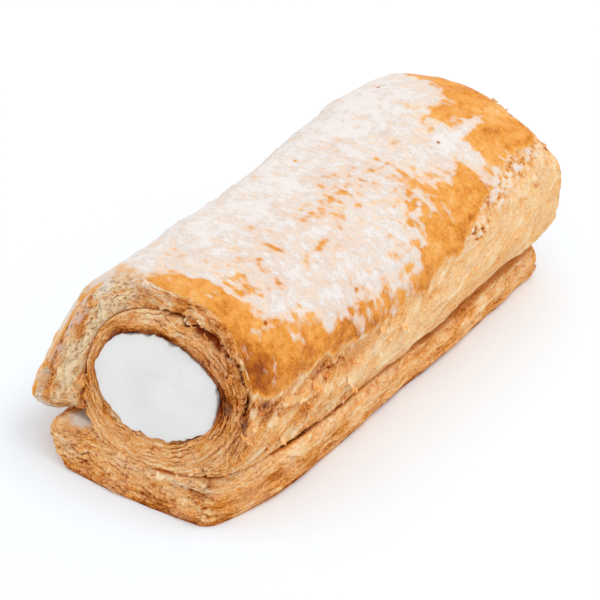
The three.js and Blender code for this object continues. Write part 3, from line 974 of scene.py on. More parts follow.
def on_skin(round_skin, t, proud):
    """Points on the skin at lengths round_skin from the crown (rows by columns), in the sections t
    (columns)."""
    length, outline, normal = skin_lines(t)
    found = np.empty((*round_skin.shape, 4))
    for j in range(len(t)):
        for k, source in enumerate((outline[..., 0], outline[..., 1], normal[..., 0], normal[..., 1])):
            found[:, j, k] = np.interp(round_skin[:, j], length[j], source[j])
    x = found[..., 0] + found[..., 2] * proud
    z = np.maximum(found[..., 1] + found[..., 3] * proud, 0)
    y = lerp(front_depth(x, z), back_depth(x, z), t)
    return np.stack([x, y, z], -1)


def with_rounded_rim(points, round_skin, t):
    """Points of the skin, with its front rim rounded back as the cut face beside it is."""
    back = rim_rounding(round_skin) * np.exp(-t * LENGTH / 1.1)
    return points + np.stack([0 * back, 0.94 * back, -0.33 * back], -1)


def leaf_shell(outer, inner):
    """One closed leaf: its outer side (rows by columns), and fewer rows of the same columns for its inner
    side."""
    rows, columns = outer.shape[:2]
    loop = np.concatenate([outer, inner[::-1]])
    count = len(loop)
    i, j = np.meshgrid(np.arange(count), np.arange(columns - 1), indexing="ij")
    after = (i + 1) % count
    quads = np.stack([i * columns + j, after * columns + j, after * columns + j + 1, i * columns + j + 1], -1)
    ends = []
    a = b = 0
    while a < rows - 1 or b < len(inner) - 1:
        if b == len(inner) - 1 or (a < rows - 1 and (a + 1) / (rows - 1) <= (b + 1) / (len(inner) - 1)):
            ends.append((a + 1, a, count - 1 - b))
            a += 1
        else:
            ends.append((a, count - 1 - b, count - 2 - b))
            b += 1
    ends = np.array(ends) * columns
    return loop, [quads.reshape(-1, 4), np.concatenate([ends, (ends + columns - 1)[:, ::-1]])]


pale_leaves = make_cut_leaves("pale_leaves", 0.6, 0.62)

side_t = np.linspace(0, 1, SIDE_COLUMNS)
side_lengths = skin_lines(side_t)[0][:, 0]
side_share = np.linspace(0, 1, SIDE_ROWS)[:, None]
side_top = glaze_edge(side_t) + 2.2
side_round = lerp(side_lengths, side_top, side_share)
above_seam = side_round - side_lengths
wall_height = side_top - side_lengths
y_along = side_t * LENGTH + 0 * side_round
drawn = 1 - above_seam / wall_height
pull = 0.75 * above_seam + 3.4 * wall_height * (1 - drawn**3) / 3
fold = y_along - pull
fold = fold + 2.2 * rough(y_along / 11, above_seam / 8, 0, 101)
fold = fold + 0.7 * rough(y_along / 3, above_seam / 2.5, 0, 102)
down_fold = above_seam + 0.45 * y_along


def draped(fold_place, along_fold, pitch, seed):
    """Soft folds of thin leaves, some of which end in a torn edge: height, torn edge, shade under it, and
    tone."""
    place = fold_place / pitch + 0.6 * rough(fold_place / (2 * pitch), along_fold / (4 * pitch), 0, seed)
    which = np.floor(place)
    share = place - which
    size = 0.55 + 0.75 * rough(along_fold / (2.2 * pitch), which * 3.7, 0, seed + 1)
    free = smooth(0, 0.45, rough(along_fold / (1.6 * pitch), which * 5.3, 7, seed + 2))
    soft = 0.5 - 0.5 * np.cos(2 * np.pi * share)
    sharp = (1 - share) ** 0.8 * smooth(0, 0.09, share)
    edge = free * bump(share, 0.07, 0.06)
    shade = free * (smooth(0.8, 0.99, share) + (1 - smooth(0, 0.05, share)))
    tone = rough(along_fold / (4 * pitch), which * 4.1, 3, seed + 3)
    return size * lerp(soft, 1.3 * sharp, free), edge, shade, tone


big, big_edge, big_shade, big_tone = draped(fold, down_fold, 7.5, 103)
small_place = 0.9 * fold + 0.35 * above_seam + 1.4 * rough(y_along / 4, above_seam / 4, 0, 105)
small, small_edge, small_shade, small_tone = draped(small_place, down_fold, 2.9, 108)
across_place = fold + 0.5 * rough(y_along / 1.3, above_seam / 1.3, 0, 113)
ridges = rough(across_place / 1.1, down_fold / 5, 0, 109)
ridges = ridges + 0.55 * rough(across_place / 0.5, down_fold / 2.6, 0, 111)
crumb = crumpled(y_along / 1.1, above_seam / 1.1, 0, 114, 3)
wide_place = 0.6 * fold / 2.8 + 0.3 * rough(y_along / 5, above_seam / 5, 0, 120)
wide_lift, wide_lip, wide_tone = scales(wide_place, down_fold / 4.8, 123)
thin_place = 0.5 * fold / 1.3 + 0.3 * rough(y_along / 3, above_seam / 3, 0, 124)
thin_lift, thin_lip, thin_tone = scales(thin_place, down_fold / 2.3, 125)
under_edge = glaze_edge(side_t) - side_round  # how far below the top leaf's edge
hollow = bump(under_edge, 3.6, 2.4) * smooth(0.02, 0.06, side_t) * (1 - smooth(0.3, 0.4, side_t))
hollow = hollow * (0.75 + 0.5 * rough(y_along / 4, under_edge / 2, 0, 110))
near, far, own = cells(
    y_along / 1.5 + 0.7 * rough(y_along / 2.2, above_seam / 2.2, 0, 115),
    above_seam / 1.2 + 0.7 * rough(y_along / 2.4, above_seam / 2.4, 5, 115),
    116,
)
hole = hollow * smooth(0.05, 0.4, far - near) * smooth(0.2, 0.7, own)
flaky_share = 1 - smooth(0.25, 0.5, side_t)
shadow_under_lip = bump(under_edge, 1.7, 1.1) * smooth(0.12, 0.07, side_t)  # painted shadow under the lip of the glaze
side_proud = -0.7 + 0.35 * big * smooth(1, 6, above_seam) + 0.12 * small + 0.05 * ridges + 0.09 * crumb
side_proud = side_proud + (0.4 + 0.3 * flaky_share) * (0.6 * wide_lift + 0.32 * thin_lift)
side_proud = side_proud - 0.9 * hollow - 0.7 * hole + crust_unevenness(side_round, side_t)
side_proud = side_proud - 0.5 * smooth(0, -2, under_edge)
SPECKLED = (  # rough, with sugar caught on it
    (0.79, -39, 0.05, 3, 0.9),
    (0.885, -37, 0.04, 2.8, 0.9),
    (0.7, -43.5, 0.04, 3, 0.7),
    (0.96, -36, 0.04, 2, 0.7),
    (0.34, -47.5, 0.05, 2, 0.4),
    (0.5, -45, 0.06, 2, 0.3),
)
speckled = spots(side_t, side_round, SPECKLED)
browned = spot(side_t, side_round, 0.71, -43, 0.035, 2.6)
speckle = rough(y_along / 1.3, above_seam / 1.0, 0, 127)
speckle = speckle + 0.5 * rough(y_along / 0.6, above_seam / 0.6, 0, 128)
pitted = np.maximum(-speckle - 0.1, 0)
side_proud = side_proud + 0.4 * speckled * speckle
into_seam = np.exp(-above_seam / 0.8)
closed_seam = 1 - smooth(0.36, 0.5, side_t)
side_proud = side_proud - 0.3 * into_seam + closed_seam * 1.1 * bump(above_seam, 2.2, 1.3)
side_points = with_rounded_rim(on_skin(side_round, side_t, side_proud), side_round, side_t)
side_inner_rows = np.linspace(0, SIDE_ROWS - 1, 9).astype(int)
side_inner = on_skin(side_round[side_inner_rows], side_t, side_proud[side_inner_rows] - 1.0)
side_inner = with_rounded_rim(side_inner, side_round[side_inner_rows], side_t)
toasted = rough(fold / 6, down_fold / 11, 0, 117) + 0.4 * rough(fold / 2.5, down_fold / 5, 0, 118)
toasted = smooth(0.05, 0.6, toasted)
# A painted shadow under the torn edges of leaves low on the front of the wall; it has no relief of its own.
torn_shares, torn_places = [0, 0.05, 0.11, 0.2, 0.24, 0.3, 0.36], [-43, -48, -51.5, -53, -48.5, -50.4, -50]
torn_edge_shadow = np.interp(side_t, torn_shares, torn_places)
torn_edge_shadow = torn_edge_shadow + 0.7 * rough(side_t * 40, 0, 0, 119) - side_round
torn_edge_shadow = smooth(-0.3, 0.1, torn_edge_shadow) * np.exp(-np.maximum(torn_edge_shadow, 0) / 1.1)
torn_edge_shadow = torn_edge_shadow * (1 - smooth(0.3, 0.38, side_t))
side_brown = 0.2 + (0.1 + 0.14 * flaky_share) * toasted - 0.05 * flaky_share
# Ridges, crumbs, lifted bits, free edges and raised folds are painted paler: a painted highlight.
side_brown = side_brown + 0.04 * big_tone + 0.04 * small_tone - 0.03 * ridges - 0.05 * crumb
side_brown = side_brown + (0.4 + 0.6 * flaky_share) * (0.14 * wide_tone + 0.11 * thin_tone) - 0.07 * wide_lift
side_brown = side_brown - 0.1 * big_edge - 0.1 * small_edge - 0.08 * (small - 0.4)
# Browner in the hollow and its pores: painted shade.
side_brown = side_brown + 0.16 * hollow + 0.3 * hole
side_brown = side_brown + 0.08 * (1 - smooth(0, 8, above_seam)) - 0.03 * flaky_share
BROWNED = (
    (0.02, -63, 0.02, 2.4, 0.6),
    (0.46, -52, 0.012, 5, 0.16),
    (0.09, -63, 0.03, 3, 0.18),
    (0.4, -61, 0.012, 3, 0.2),
    (0.535, -47.5, 0.012, 1.6, 0.36),
    (0.0, -48.5, 0.014, 1.6, 0.5),
)
side_brown = side_brown + spots(side_t, side_round, BROWNED)
SMEARED = (  # where glaze has run down
    (0.015, -54, 0.03, 4, 1.1),
    (0.095, -57, 0.018, 3.5, 0.8),
    (0.18, -55, 0.016, 2.5, 0.4),
    (0.31, -53, 0.022, 3, 0.7),
    (0.36, -50, 0.06, 2.2, 0.6),
)
smear = 0.2 * crumb + 0.05 * toasted + spots(side_t, side_round, SMEARED)
smear = np.clip(smear, 0, 0.85)
side_brown = lerp(side_brown, 0.5, smear)
side_brown = side_brown + 0.45 * shadow_under_lip
red_seam = bump(above_seam, 1.7, 0.8) * closed_seam
# Further back, painted shade in the open groove.
side_brown = side_brown + 0.5 * red_seam + 0.08 * smooth(0.46, 0.6, side_t) * smooth(4.5, 1, above_seam)
side_brown = side_brown + 0.16 * torn_edge_shadow
# Painted shade: under torn edges, folds and lifted bits, in pores, down into the seam and under the glaze's
# lip.
side_painted_shade = 0.5 * torn_edge_shadow + 0.15 * big_shade + 0.1 * small_shade + 0.7 * hole
side_painted_shade = side_painted_shade + (0.2 + 0.3 * closed_seam) * into_seam
side_painted_shade = side_painted_shade + (0.3 + 0.4 * flaky_share) * (0.55 * wide_lip + 0.4 * thin_lip)
side_painted_shade = side_painted_shade * (1 - 0.6 * smear) + 0.3 * shadow_under_lip
side_painted_shade = side_painted_shade + 0.5 * spot(side_t, side_round, 0.02, -63, 0.02, 2)
side_gloss = 0.15 * big_edge + 0.1 * smear
side_sugar = 0.1 * rough(y_along / 3, above_seam / 3, 0, 126)
side_sugar = side_sugar + speckled * (0.36 + 0.7 * speckle)
# Darker in the pits among the caught sugar: painted shade.
side_brown = side_brown + (0.45 * speckled + 0.5 * browned) * pitted
side_painted_shade = side_painted_shade + 0.4 * speckled * pitted
side_loop, side_faces = leaf_shell(side_points, side_inner)


def with_inner(mark, rows, inner_value):
    """A mark over a leaf's outer side, followed by the same value all over its inner side."""
    mark = np.broadcast_to(mark, (rows, SIDE_COLUMNS)) if np.ndim(mark) < 2 else mark
    return np.concatenate([mark.ravel(), np.full(len(side_inner_rows) * mark.shape[1], inner_value)])


side_leaves = pastry_piece(
    "side_leaves",
    side_loop.reshape(-1, 3),
    side_faces,
    {
        "brown": with_inner(side_brown, SIDE_ROWS, 0.4),
        "painted_shade": with_inner(side_painted_shade, SIDE_ROWS, 0.6),
        "gloss": with_inner(side_gloss, SIDE_ROWS, 0),
        "dusting": with_inner(side_sugar, SIDE_ROWS, -1),
    },
    pale_leaves,
    spread=np.stack([with_inner(1.3 * across_place, SIDE_ROWS, 0), with_inner(down_fold, SIDE_ROWS, 0)], -1),
)
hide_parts("pastry")

# The top leaf. The outermost leaf was brushed with egg and sugar before baking, so it is a thin orange crust
# with a shine. It runs from a ragged edge on the right over the top to the flap, under icing sugar that was
# sieved on and then brushed across, thick on the left and thin on the right.
TOP_ROWS = 232
TOP_COLUMNS = 384
SUGAR_EDGE = [  # at each share of the length, how far round from the crown the sugar ends, right being minus
    [0, 0],
    [0.045, -6],
    [0.06, -14],
    [0.074, -24],
    [0.1, -29],
    [0.17, -32],
    [0.2, -34],
    [0.22, -38],
    [0.27, -41],
    [0.33, -43],
    [0.42, -44],
    [0.47, -43],
    [0.5, -41],
    [0.56, -39],
    [0.6, -36],
    [0.65, -29],
    [0.72, -29.5],
    [0.78, -29],
    [0.8, -34],
    [0.83, -33],
    [0.85, -25],
    [0.88, -24],
    [0.91, -20],
    [0.945, -13],
    [0.97, -7],
    [0.985, 1],
    [0.995, 12],
    [1.0, 20],
]
GLAZE_COLOURS = [
    (0.55, (0.93, 0.62, 0.32)),
    (0.85, (0.88, 0.42, 0.105)),
    (1.05, (0.80, 0.31, 0.042)),
    (1.25, (0.56, 0.165, 0.012)),
    (1.5, (0.30, 0.06, 0.003)),
]
GLAZE_SCALE = 0.6  # brings the brownness of the glaze into the colours' range from 0 to 1

top_t = np.linspace(0, 1, TOP_COLUMNS)
top_share = np.linspace(0, 1, TOP_ROWS)[:, None]
top_length = skin_lines(top_t)[0]
flap_end = top_length[:, -1] - 5.4 + 0.5 * rough(top_t * 40, 0, 0, 121)
top_round = lerp(glaze_edge(top_t), flap_end, top_share)
top_y = top_t * LENGTH + 0 * top_round
from_edge = top_round - glaze_edge(top_t)
blister = crumpled(top_y / 8, top_round / 8, 0, 122, 3)
crackle = rough(top_y / 0.9, top_round / 4.5, 0, 126) + 0.6 * rough(top_y / 2.1, top_round / 7, 0, 127)
near, far, own = cells(top_y / 2.4, top_round / 3.6, 128)
crack = 1 - smooth(0.02, 0.1, far - near)
wrinkle = crumpled(top_y / 2.8, top_round / 2.2, 0, 137, 3)
top_proud = -0.1 + 0.3 * blister + 0.19 * wrinkle + 0.06 * crackle + crust_unevenness(top_round, top_t)
top_proud = top_proud + 0.4 * np.exp(-from_edge / 1.6) - 0.55 * np.exp(-from_edge / 0.28)
top_proud = top_proud - 0.5 * np.exp(-(flap_end - top_round) / 0.6)
rim = np.minimum(top_t, 1 - top_t) * LENGTH
top_proud = top_proud - 0.35 * np.exp(-rim / 0.5)
top_points = with_rounded_rim(on_skin(top_round, top_t, top_proud), top_round, top_t)
TOP_INNER = np.linspace(0, TOP_ROWS - 1, 12).astype(int)
top_inner = on_skin(top_round[TOP_INNER], top_t, top_proud[TOP_INNER] - 0.7)
top_inner = with_rounded_rim(top_inner, top_round[TOP_INNER], top_t)
sugar_edge = np.interp(top_t, *np.array(SUGAR_EDGE).T)
brushed = (top_y + 0.12 * top_round + 0.8 * rough(top_y / 5, top_round / 5, 0, 138)) / 1.2  # across the roll
strokes = crumpled(brushed, top_round / 3.4, 0, 133, 3)
clouds = crumpled(top_y / 6, top_round / 5, 0, 134, 3)
fine_clouds = crumpled(top_y / 2.2, top_round / 1.7, 0, 135, 3)
dusting = smooth(-8, 7, top_round - sugar_edge) * lerp(0.7, 0.94, smooth(-16, 2, top_round))
veil = smooth(-46, -39, top_round) * smooth(0.2, 0.27, top_t) * (1 - smooth(0.93, 1, top_t))
dusting = np.maximum(dusting, 0.27 * veil + 0.12 * clouds + 0.1 * strokes)
BARE = (  # where sugar is missing, or with a minus lies thicker
    (0.258, -16, 0.008, 3.5, 0.6),
    (0.28, -23.5, 0.012, 1.2, 0.45),
    (0.33, -23, 0.035, 1.1, 0.4),
    (0.36, -22.5, 0.02, 0.9, 0.3),
    (0.55, -15, 0.035, 2.2, 0.2),
    (0.5, -14, 0.02, 1.5, 0.18),
    (0.65, -16, 0.007, 4, 0.35),
    (0.67, -25, 0.06, 2, 0.25),
    (0.61, -8, 0.01, 1, 0.25),
    (0.72, -34, 0.05, 4.5, 0.5),
    (0.6, -35, 0.025, 2.5, 0.3),
    (0.42, -43, 0.05, 2, 0.25),
    (0.56, -43, 0.04, 2.5, 0.25),
    (0.97, -27, 0.03, 8, 0.6),
    (0.82, -32, 0.02, 2, 0.3),
    (0.55, -19, 0.12, 9, 0.16),
    (0.56, -34, 0.1, 8, 0.26),
    (0.64, -40, 0.045, 3.5, 0.6),
    (0.95, -4, 0.05, 8, 0.25),
    (0.26, -42.5, 0.05, 3.5, 0.35),
    (0.88, -22.5, 0.045, 1.5, -0.55),
    (0.13, -28.5, 0.045, 1.8, -0.4),
    (0.14, -20, 0.04, 9, 0.2),
    (0.33, -39.5, 0.03, 1.4, 0.45),
    (0.865, -27.5, 0.022, 2.6, 0.7),
    (0.882, -15.8, 0.042, 3.4, 0.8),
    (0.93, -30, 0.025, 6, 0.7),
    (0.1, -21, 0.02, 5, 0.2),
    (0.09, -3, 0.025, 2, 0.3),
    (0.13, -11, 0.02, 3, 0.25),
    (0.22, -33, 0.03, 2, -0.2),
    (0.2, -27, 0.05, 2, -0.25),
    (0.8, -22.5, 0.05, 1.2, -0.35),
    (0.42, -30, 0.06, 5, -0.12),
    (0.8, 0, 0.12, 12, -0.14),
)
dusting = dusting - spots(top_t, top_round, BARE)
dusting = dusting + (0.2 * strokes + 0.2 * clouds + 0.26 * fine_clouds) * smooth(-0.1, 0.4, dusting)
mottled = spot(top_t, top_round, 0.56, -34, 0.12, 9) + 0.8 * spot(top_t, top_round, 0.55, -16, 0.14, 7)
mottled = mottled + spot(top_t, top_round, 0.13, -22, 0.05, 9)
dusting = dusting + 0.27 * mottled * rough(top_y / 1.3, top_round / 1.0, 0, 139)
dusting = dusting - 0.3 * smooth(0.25, 0.05, dusting)
dusting = dusting * lerp(1, 0.42, smooth(22, 44, top_round + 6 * rough(top_y / 9, 0, 0, 130)))
bare_rim = smooth(-0.5, 2.5, rim + 2 * rough(top_round / 4, 0, 0, 131))
dusting = dusting * lerp(bare_rim, 1, smooth(-6, 2, top_round) * (top_t < 0.5))
crust_showing = smooth(10, 1, rim + 4 * rough(top_round / 6, top_y / 6, 0, 136))
crust_showing = crust_showing * smooth(-4, 6, top_round) * (top_t < 0.5)
dusting = dusting - (0.4 + 0.3 * fine_clouds) * crust_showing
top_brown = 0.47 + 0.12 * rough(top_y / 12, top_round / 12, 0, 132) + 0.1 * blister
top_brown = top_brown + 0.42 * spot(top_t, top_round, 0.03, -37, 0.06, 6)
top_brown = top_brown + 0.14 * spot(top_t, top_round, 0.15, -42, 0.06, 3)
top_brown = top_brown + 0.12 * spot(top_t, top_round, 0.925, -28, 0.03, 5)
top_brown = top_brown - 0.22 * smooth(5, 30, top_round) - 0.3 * smooth(0.0, 0.7, dusting)
top_brown = top_brown - 0.04 * smooth(0.8, 0.93, top_t)
# The glaze's lower edge is painted paler: a painted highlight along it.
top_brown = top_brown + 0.12 * np.exp(-(((from_edge - 1.5) / 1.6) ** 2)) - 0.5 * np.exp(-from_edge / 0.6)
top_brown = top_brown + 0.12 * crack + 0.08 * fine_clouds
for t_speck, s_speck, size in (
    (0.79, -20.7, 0.6),
    (0.083, -29.5, 0.5),
    (0.56, 0.6, 0.4),
    (0.9, 2, 0.6),
    (0.79, 31, 0.5),
    (0.31, 12, 0.4),
):
    speck = spot(top_y, top_round, t_speck * LENGTH, s_speck, size, 0.8 * size)
    top_brown, dusting = top_brown + 0.9 * speck, dusting - 1.3 * speck
top_gloss = smooth(0, 1.2, from_edge) * (1 - smooth(10, 30, top_round))
top_spread = np.stack([top_round, top_y - 0.8 * np.maximum(-30 - top_round, 0)], -1)
top_loop, top_faces = leaf_shell(top_points, top_inner)


def make_sugared_glaze():
    """The egg-glazed crust of the top leaf, with the sugar on it."""
    finish, tree = new_finish("sugared_glaze")
    place = node(tree, "ShaderNodeTexCoord").outputs["Object"]
    grain = noise(tree, place, 1700, 4, 0.6)
    brown = calculated(tree, "MULTIPLY_ADD", noise(tree, place, 330, 6, 0.62), 0.55, mark_of(tree, "brown"))
    brown = calculated(tree, "MULTIPLY_ADD", grain, 0.5, brown)
    colours = [(position * GLAZE_SCALE, colour) for position, colour in GLAZE_COLOURS]
    glaze = colour_along(tree, calculated(tree, "MULTIPLY", brown, GLAZE_SCALE), colours)
    dusting = mark_of(tree, "dusting")
    sugar = node(tree, "ShaderNodeGroup", node_tree=icing_sugar, Crust=glaze, Dusting=dusting)
    shine = node(tree, "ShaderNodeMapRange", mark_of(tree, "gloss"), To_Min=0.55, To_Max=0.26)
    dull = node(tree, "ShaderNodeMix", sugar.outputs["Cover"])
    put(tree, dull.inputs[2], shine.outputs["Result"])
    put(tree, dull.inputs[3], 0.85)
    height = calculated(tree, "MULTIPLY_ADD", sugar.outputs["Cover"], 0.75, grain)
    relief = node(tree, "ShaderNodeBump", Distance=CRUMB_HEIGHT, Strength=0.7, Height=height)
    finish_shader(
        tree,
        Base_Color=sugar.outputs["Color"],
        Roughness=dull.outputs[0],
        Normal=relief.outputs["Normal"],
        Specular_IOR_Level=0.12,
    )
    return finish


sugared_glaze = make_sugared_glaze()


def over_leaf(mark, inner_value):
    """A mark over the top leaf's outer side, and one value all over its inner side."""
    return np.concatenate([mark.ravel(), np.full(len(TOP_INNER) * TOP_COLUMNS, inner_value)])


top_leaf = pastry_piece(
    "top_leaf",
    top_loop.reshape(-1, 3),
    top_faces,
    {
        "brown": over_leaf(top_brown, 0.3),
        "dusting": over_leaf(dusting, -1),
        "gloss": over_leaf(top_gloss, 0),
    },
    sugared_glaze,
    spread=np.concatenate([top_spread.reshape(-1, 2), top_spread[TOP_INNER].reshape(-1, 2)]),
)
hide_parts("pastry")

# The base sheet. A flat piece of the same dough under the roll, cut straight on all four sides, so that its
# many level leaves show all round. It has baked together with the roll above it.
BASE_ROWS = 46
BASE_STEP = 0.4
BASE_LEAF_PITCH = 1.1
CORNER_ROUNDS = (3.2, 3.5, 5, 2.5)  # front right, back right, back left and front left
HALF_WIDTH = 25
HIDDEN_ROWS = ((0.7, 0.05), (1.6, 0.15), (3, 0.25), (5, 0.4), (8, 0.6))  # under the roll: how far in and down


def base_plan():
    """The outline of the base seen from above: how far across (-1 to 1), how far along (0 to 1), and its
    outward normals and length."""
    corners = ((1, 0), (1, 1), (-1, 1), (-1, 0))
    pieces = []
    for k, ((a, t), size) in enumerate(zip(corners, CORNER_ROUNDS)):
        middle = np.array([a * (HALF_WIDTH - size), lerp(size, LENGTH - size, t)])
        turn = np.radians(-90 + 90 * k) + np.linspace(0, np.pi / 2, 14)
        pieces.append(middle + size * np.stack([np.cos(turn), np.sin(turn)], -1))
    loop = np.concatenate([*pieces, pieces[0][:1]])
    length = np.concatenate([[0], np.cumsum(np.hypot(*np.diff(loop, axis=0).T))])
    count = int(length[-1] / BASE_STEP)
    even = np.linspace(0, length[-1], count, endpoint=False)
    plan = np.stack([np.interp(even, length, loop[:, k]) for k in (0, 1)], -1)
    slope = np.roll(plan, -2, 0) - np.roll(plan, 2, 0)
    normal = np.stack([slope[:, 1], -slope[:, 0]], -1) / np.hypot(*slope.T)[:, None]
    return plan[:, 0] / HALF_WIDTH, plan[:, 1] / LENGTH, normal, even


def turn_underside(x):
    """The height of the inner turn's lowest leaf across the front, which the base fits."""
    angle = np.radians(np.linspace(-170, -10, 200))
    reach = turn_reach(angle, 0)
    return np.interp(x, CREAM_X + reach * np.cos(angle), CREAM_Z + reach * np.sin(angle))


def fan(columns, first, middle):
    """Triangles from a closed row of points, counted from the first, to the point in its middle."""
    around = np.arange(columns)
    return np.stack([first + around, first + (around + 1) % columns, np.full(columns, middle)], -1)


base_across, base_t, base_normal, base_along = base_plan()
corners = section_features(base_t)
edge_right, edge_left = corners[1, :, 0], corners[20, :, 0]
height_right, height_left = corners[4, :, 1], corners[18, :, 1] + 0.4
faces_right = np.maximum(base_normal[:, 0], 0) ** 2
faces_left = np.maximum(-base_normal[:, 0], 0) ** 2
faces_end = base_normal[:, 1] ** 2
faces_front = faces_end * (base_t < 0.5)
across_share = (base_across + 1) / 2
base_top = lerp(height_left, height_right, across_share) + 0.5 * faces_right * (1 - smooth(0.36, 0.5, base_t))
middle_x = lerp(edge_left, edge_right, across_share)
base_top = np.where(faces_end > 0.3, np.minimum(base_top, turn_underside(middle_x) + 0.1), base_top)
base_top = np.convolve(np.concatenate([base_top[-6:], base_top, base_top[:6]]), np.ones(13) / 13, "valid")
base_share = np.linspace(0, 1, BASE_ROWS)[:, None]
base_z = base_share * base_top
base_run = base_along + 0 * base_z
left_x = edge_left - np.interp(base_z, [0, 2.7, 5.9, 8], [-6.2, -2.8, 0, -0.3])
right_x = edge_right + np.interp(base_z, [0, 2.2, 5], [-1.2, 0, -0.1])
plan_x = lerp(left_x, right_x, across_share)

from_top = base_top - base_z
right_round = 1.6 * faces_right * smooth(2.4, 0, from_top) ** 1.5
left_round = 2.4 * faces_left * smooth(2.2, 0, from_top) ** 1.5
ledge = 1.5 * (1 - smooth(-13, -9, plan_x)) * (base_t < 0.5)  # its top edge shows below the flap
end_round = 0.5 * smooth(1, 0, base_z) + 0.7 * smooth(1.1, 0, from_top) + ledge * smooth(1.6, 0, from_top)
base_inset = -right_round - left_round - faces_end * end_round
jut, gap, tone, base_across_leaves = leaf_stack(base_z, base_run, BASE_LEAF_PITCH, 141)
fine_jut, fine_gap, fine_tone = leaf_stack(base_z, base_run, 0.42, 151)[:3]
slit = smooth(0.05, 0.45, rough(base_along / 3.2, np.floor(base_z / BASE_LEAF_PITCH) * 3.1, 0, 160)) * gap
ends_only = smooth(0.2, 0.7, faces_end)
base_calm = 1 - 0.55 * faces_right  # its long right side has baked smoother than its cut ends
base_relief = base_calm * (0.35 * jut + 0.1 * fine_jut - 0.7 * gap - 0.15 * fine_gap) - 1.3 * slit * ends_only
base_relief = base_relief + 0.25 * crumpled(base_along / 8, base_z / 5, 0, 161, 3)
pale_lip = spot(plan_x, base_z, 15, 8.4, 7, 0.8) * faces_front  # a leaf of the front right corner
slot = spot(plan_x + 0.5 * tone, base_z, 18.5, 6.9, 2.6, 0.35) * faces_front
base_relief = (base_relief + 0.9 * pale_lip - 0.9 * slot) * smooth(0, 0.4, base_z)
base_proud = base_inset + base_relief
base_x = plan_x + base_normal[:, 0] * base_proud
base_y = lerp(front_depth(plan_x, base_z), back_depth(plan_x, base_z), base_t)
base_y = base_y + base_normal[:, 1] * base_proud
base_points = np.stack([base_x, base_y, base_z], -1)
base_points[0, :, 2] = 0
lips = []
for inward, sink in HIDDEN_ROWS:
    lip = base_points[-1].copy()
    lip[:, :2] -= base_normal * inward
    lip[:, 2] = base_top - sink + 0.15 * rough(base_along / 1.5, inward / 2, 0, 162)
    lips.append(lip)
foot = base_points[0].copy()
foot[:, :2] -= base_normal * 3
base_loop = np.concatenate([foot[None], base_points, np.array(lips)])
base_rows, base_columns = base_loop.shape[:2]
base_quads = grid_quads(base_rows, base_columns, rows_closed=False)[:, [0, 3, 2, 1]]
base_count = base_rows * base_columns
underside = fan(base_columns, 0, base_count)[:, [1, 0, 2]]
hidden_top = fan(base_columns, base_count - base_columns, base_count + 1)
base_middles = np.array([[0, 3, 0], [0, 3, 6.5]])

# Leaves that stand out are painted paler: a painted highlight.
base_brown = 0.31 + 0.12 * tone + 0.08 * fine_tone - 0.12 * jut + 0.06 * faces_right
base_brown = base_brown + 0.22 * smooth(5, 0, base_z) * faces_end + 0.1 * smooth(2, 0, base_z)
base_brown = base_brown + 0.3 * faces_left * bump(base_z, 3, 2)
seam_red = faces_right * (1 - smooth(0.36, 0.46, base_t))
ledge_sugar = 0.85 * bump(middle_x, -15.5, 2.8) * (base_t < 0.2)
base_brown = base_brown + ledge_sugar * (0.25 * bump(from_top, 1.8, 0.7) - 0.15 * bump(from_top, 0, 0.8))
base_brown = base_brown - 0.3 * pale_lip + faces_right * (0.1 - 0.16 * bump(from_top, 1.6, 2))
base_brown = base_brown + 0.14 * faces_right * crumpled(base_along / 6, base_z / 3, 0, 165, 3)
# A painted shade line along the top of the front, under the inner turn.
shade_under_turn = bump(from_top, 0, 0.5) * smooth(2, 8, plan_x) * faces_front
base_brown = base_brown + 0.3 * shade_under_turn + 0.3 * seam_red * bump(from_top, 0, 0.35)
# Chips: pits shown only as painted shade, with no relief.
chip_along = base_along / 1.1 + 0.6 * rough(base_along / 2, base_z / 2, 0, 163)
near, far, own = cells(chip_along, base_z / 0.55 + 0.5 * tone, 164)
chip = smooth(0.05, 0.4, far - near) * smooth(0.72, 0.9, own)
# Painted shade: in gaps, slits, chips and the slot, at the foot and under the inner turn.
base_painted_shade = base_calm * (1.4 * gap + 0.5 * fine_gap + 0.6 * slit + 0.7 * chip) + 0.6 * slit * ends_only
base_painted_shade = base_painted_shade + 0.9 * slot + 0.3 * smooth(0.8, 0, base_z) + 0.7 * shade_under_turn
groove_shade = 0.1 * faces_right * smooth(0.4, 0.5, base_t)  # painted shade in the open groove
hidden = range(len(HIDDEN_ROWS))
lip_brown = [0.3 + 0.55 * seam_red + groove_shade + 0.03 * k + 0.1 * tone[-1] for k in hidden]
side_dusting = ledge_sugar * smooth(1.3, 0.2, from_top)
# Painted shade under the roll, deeper further in.
lip_painted_shade = [0.05 * k + 0.1 * seam_red for k in hidden]


def over_base(bottom, side, lip, middles):
    """A mark at each point of the base: round its foot, up its side, row by row under the roll, and in the
    middles of its underside and its hidden top."""
    return np.concatenate([np.full(base_columns, bottom), side.ravel(), np.concatenate(lip), middles])


base_sheet = pastry_piece(
    "base_sheet",
    np.concatenate([base_loop.reshape(-1, 3), base_middles]),
    [base_quads, np.concatenate([underside, hidden_top])],
    {
        "brown": over_base(0.62, base_brown, lip_brown, [0.5, 0.5]),
        "painted_shade": over_base(0.2, base_painted_shade, lip_painted_shade, [0, 0.5]),
        "gloss": over_base(0.1, 0 * base_brown, [0 * values for values in lip_painted_shade], [0.1, 0]),
        "dusting": over_base(-1, side_dusting, [ledge_sugar for k in hidden], [-1, -1]),
    },
    cut_leaves,
    spread=np.stack(
        [
            over_base(0, base_across_leaves, [base_across_leaves[-1] + k for k in hidden], [0, 0]),
            over_base(0, base_run, [base_along for k in hidden], [0, 0]),
        ],
        -1,
    ),
)
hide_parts("pastry")

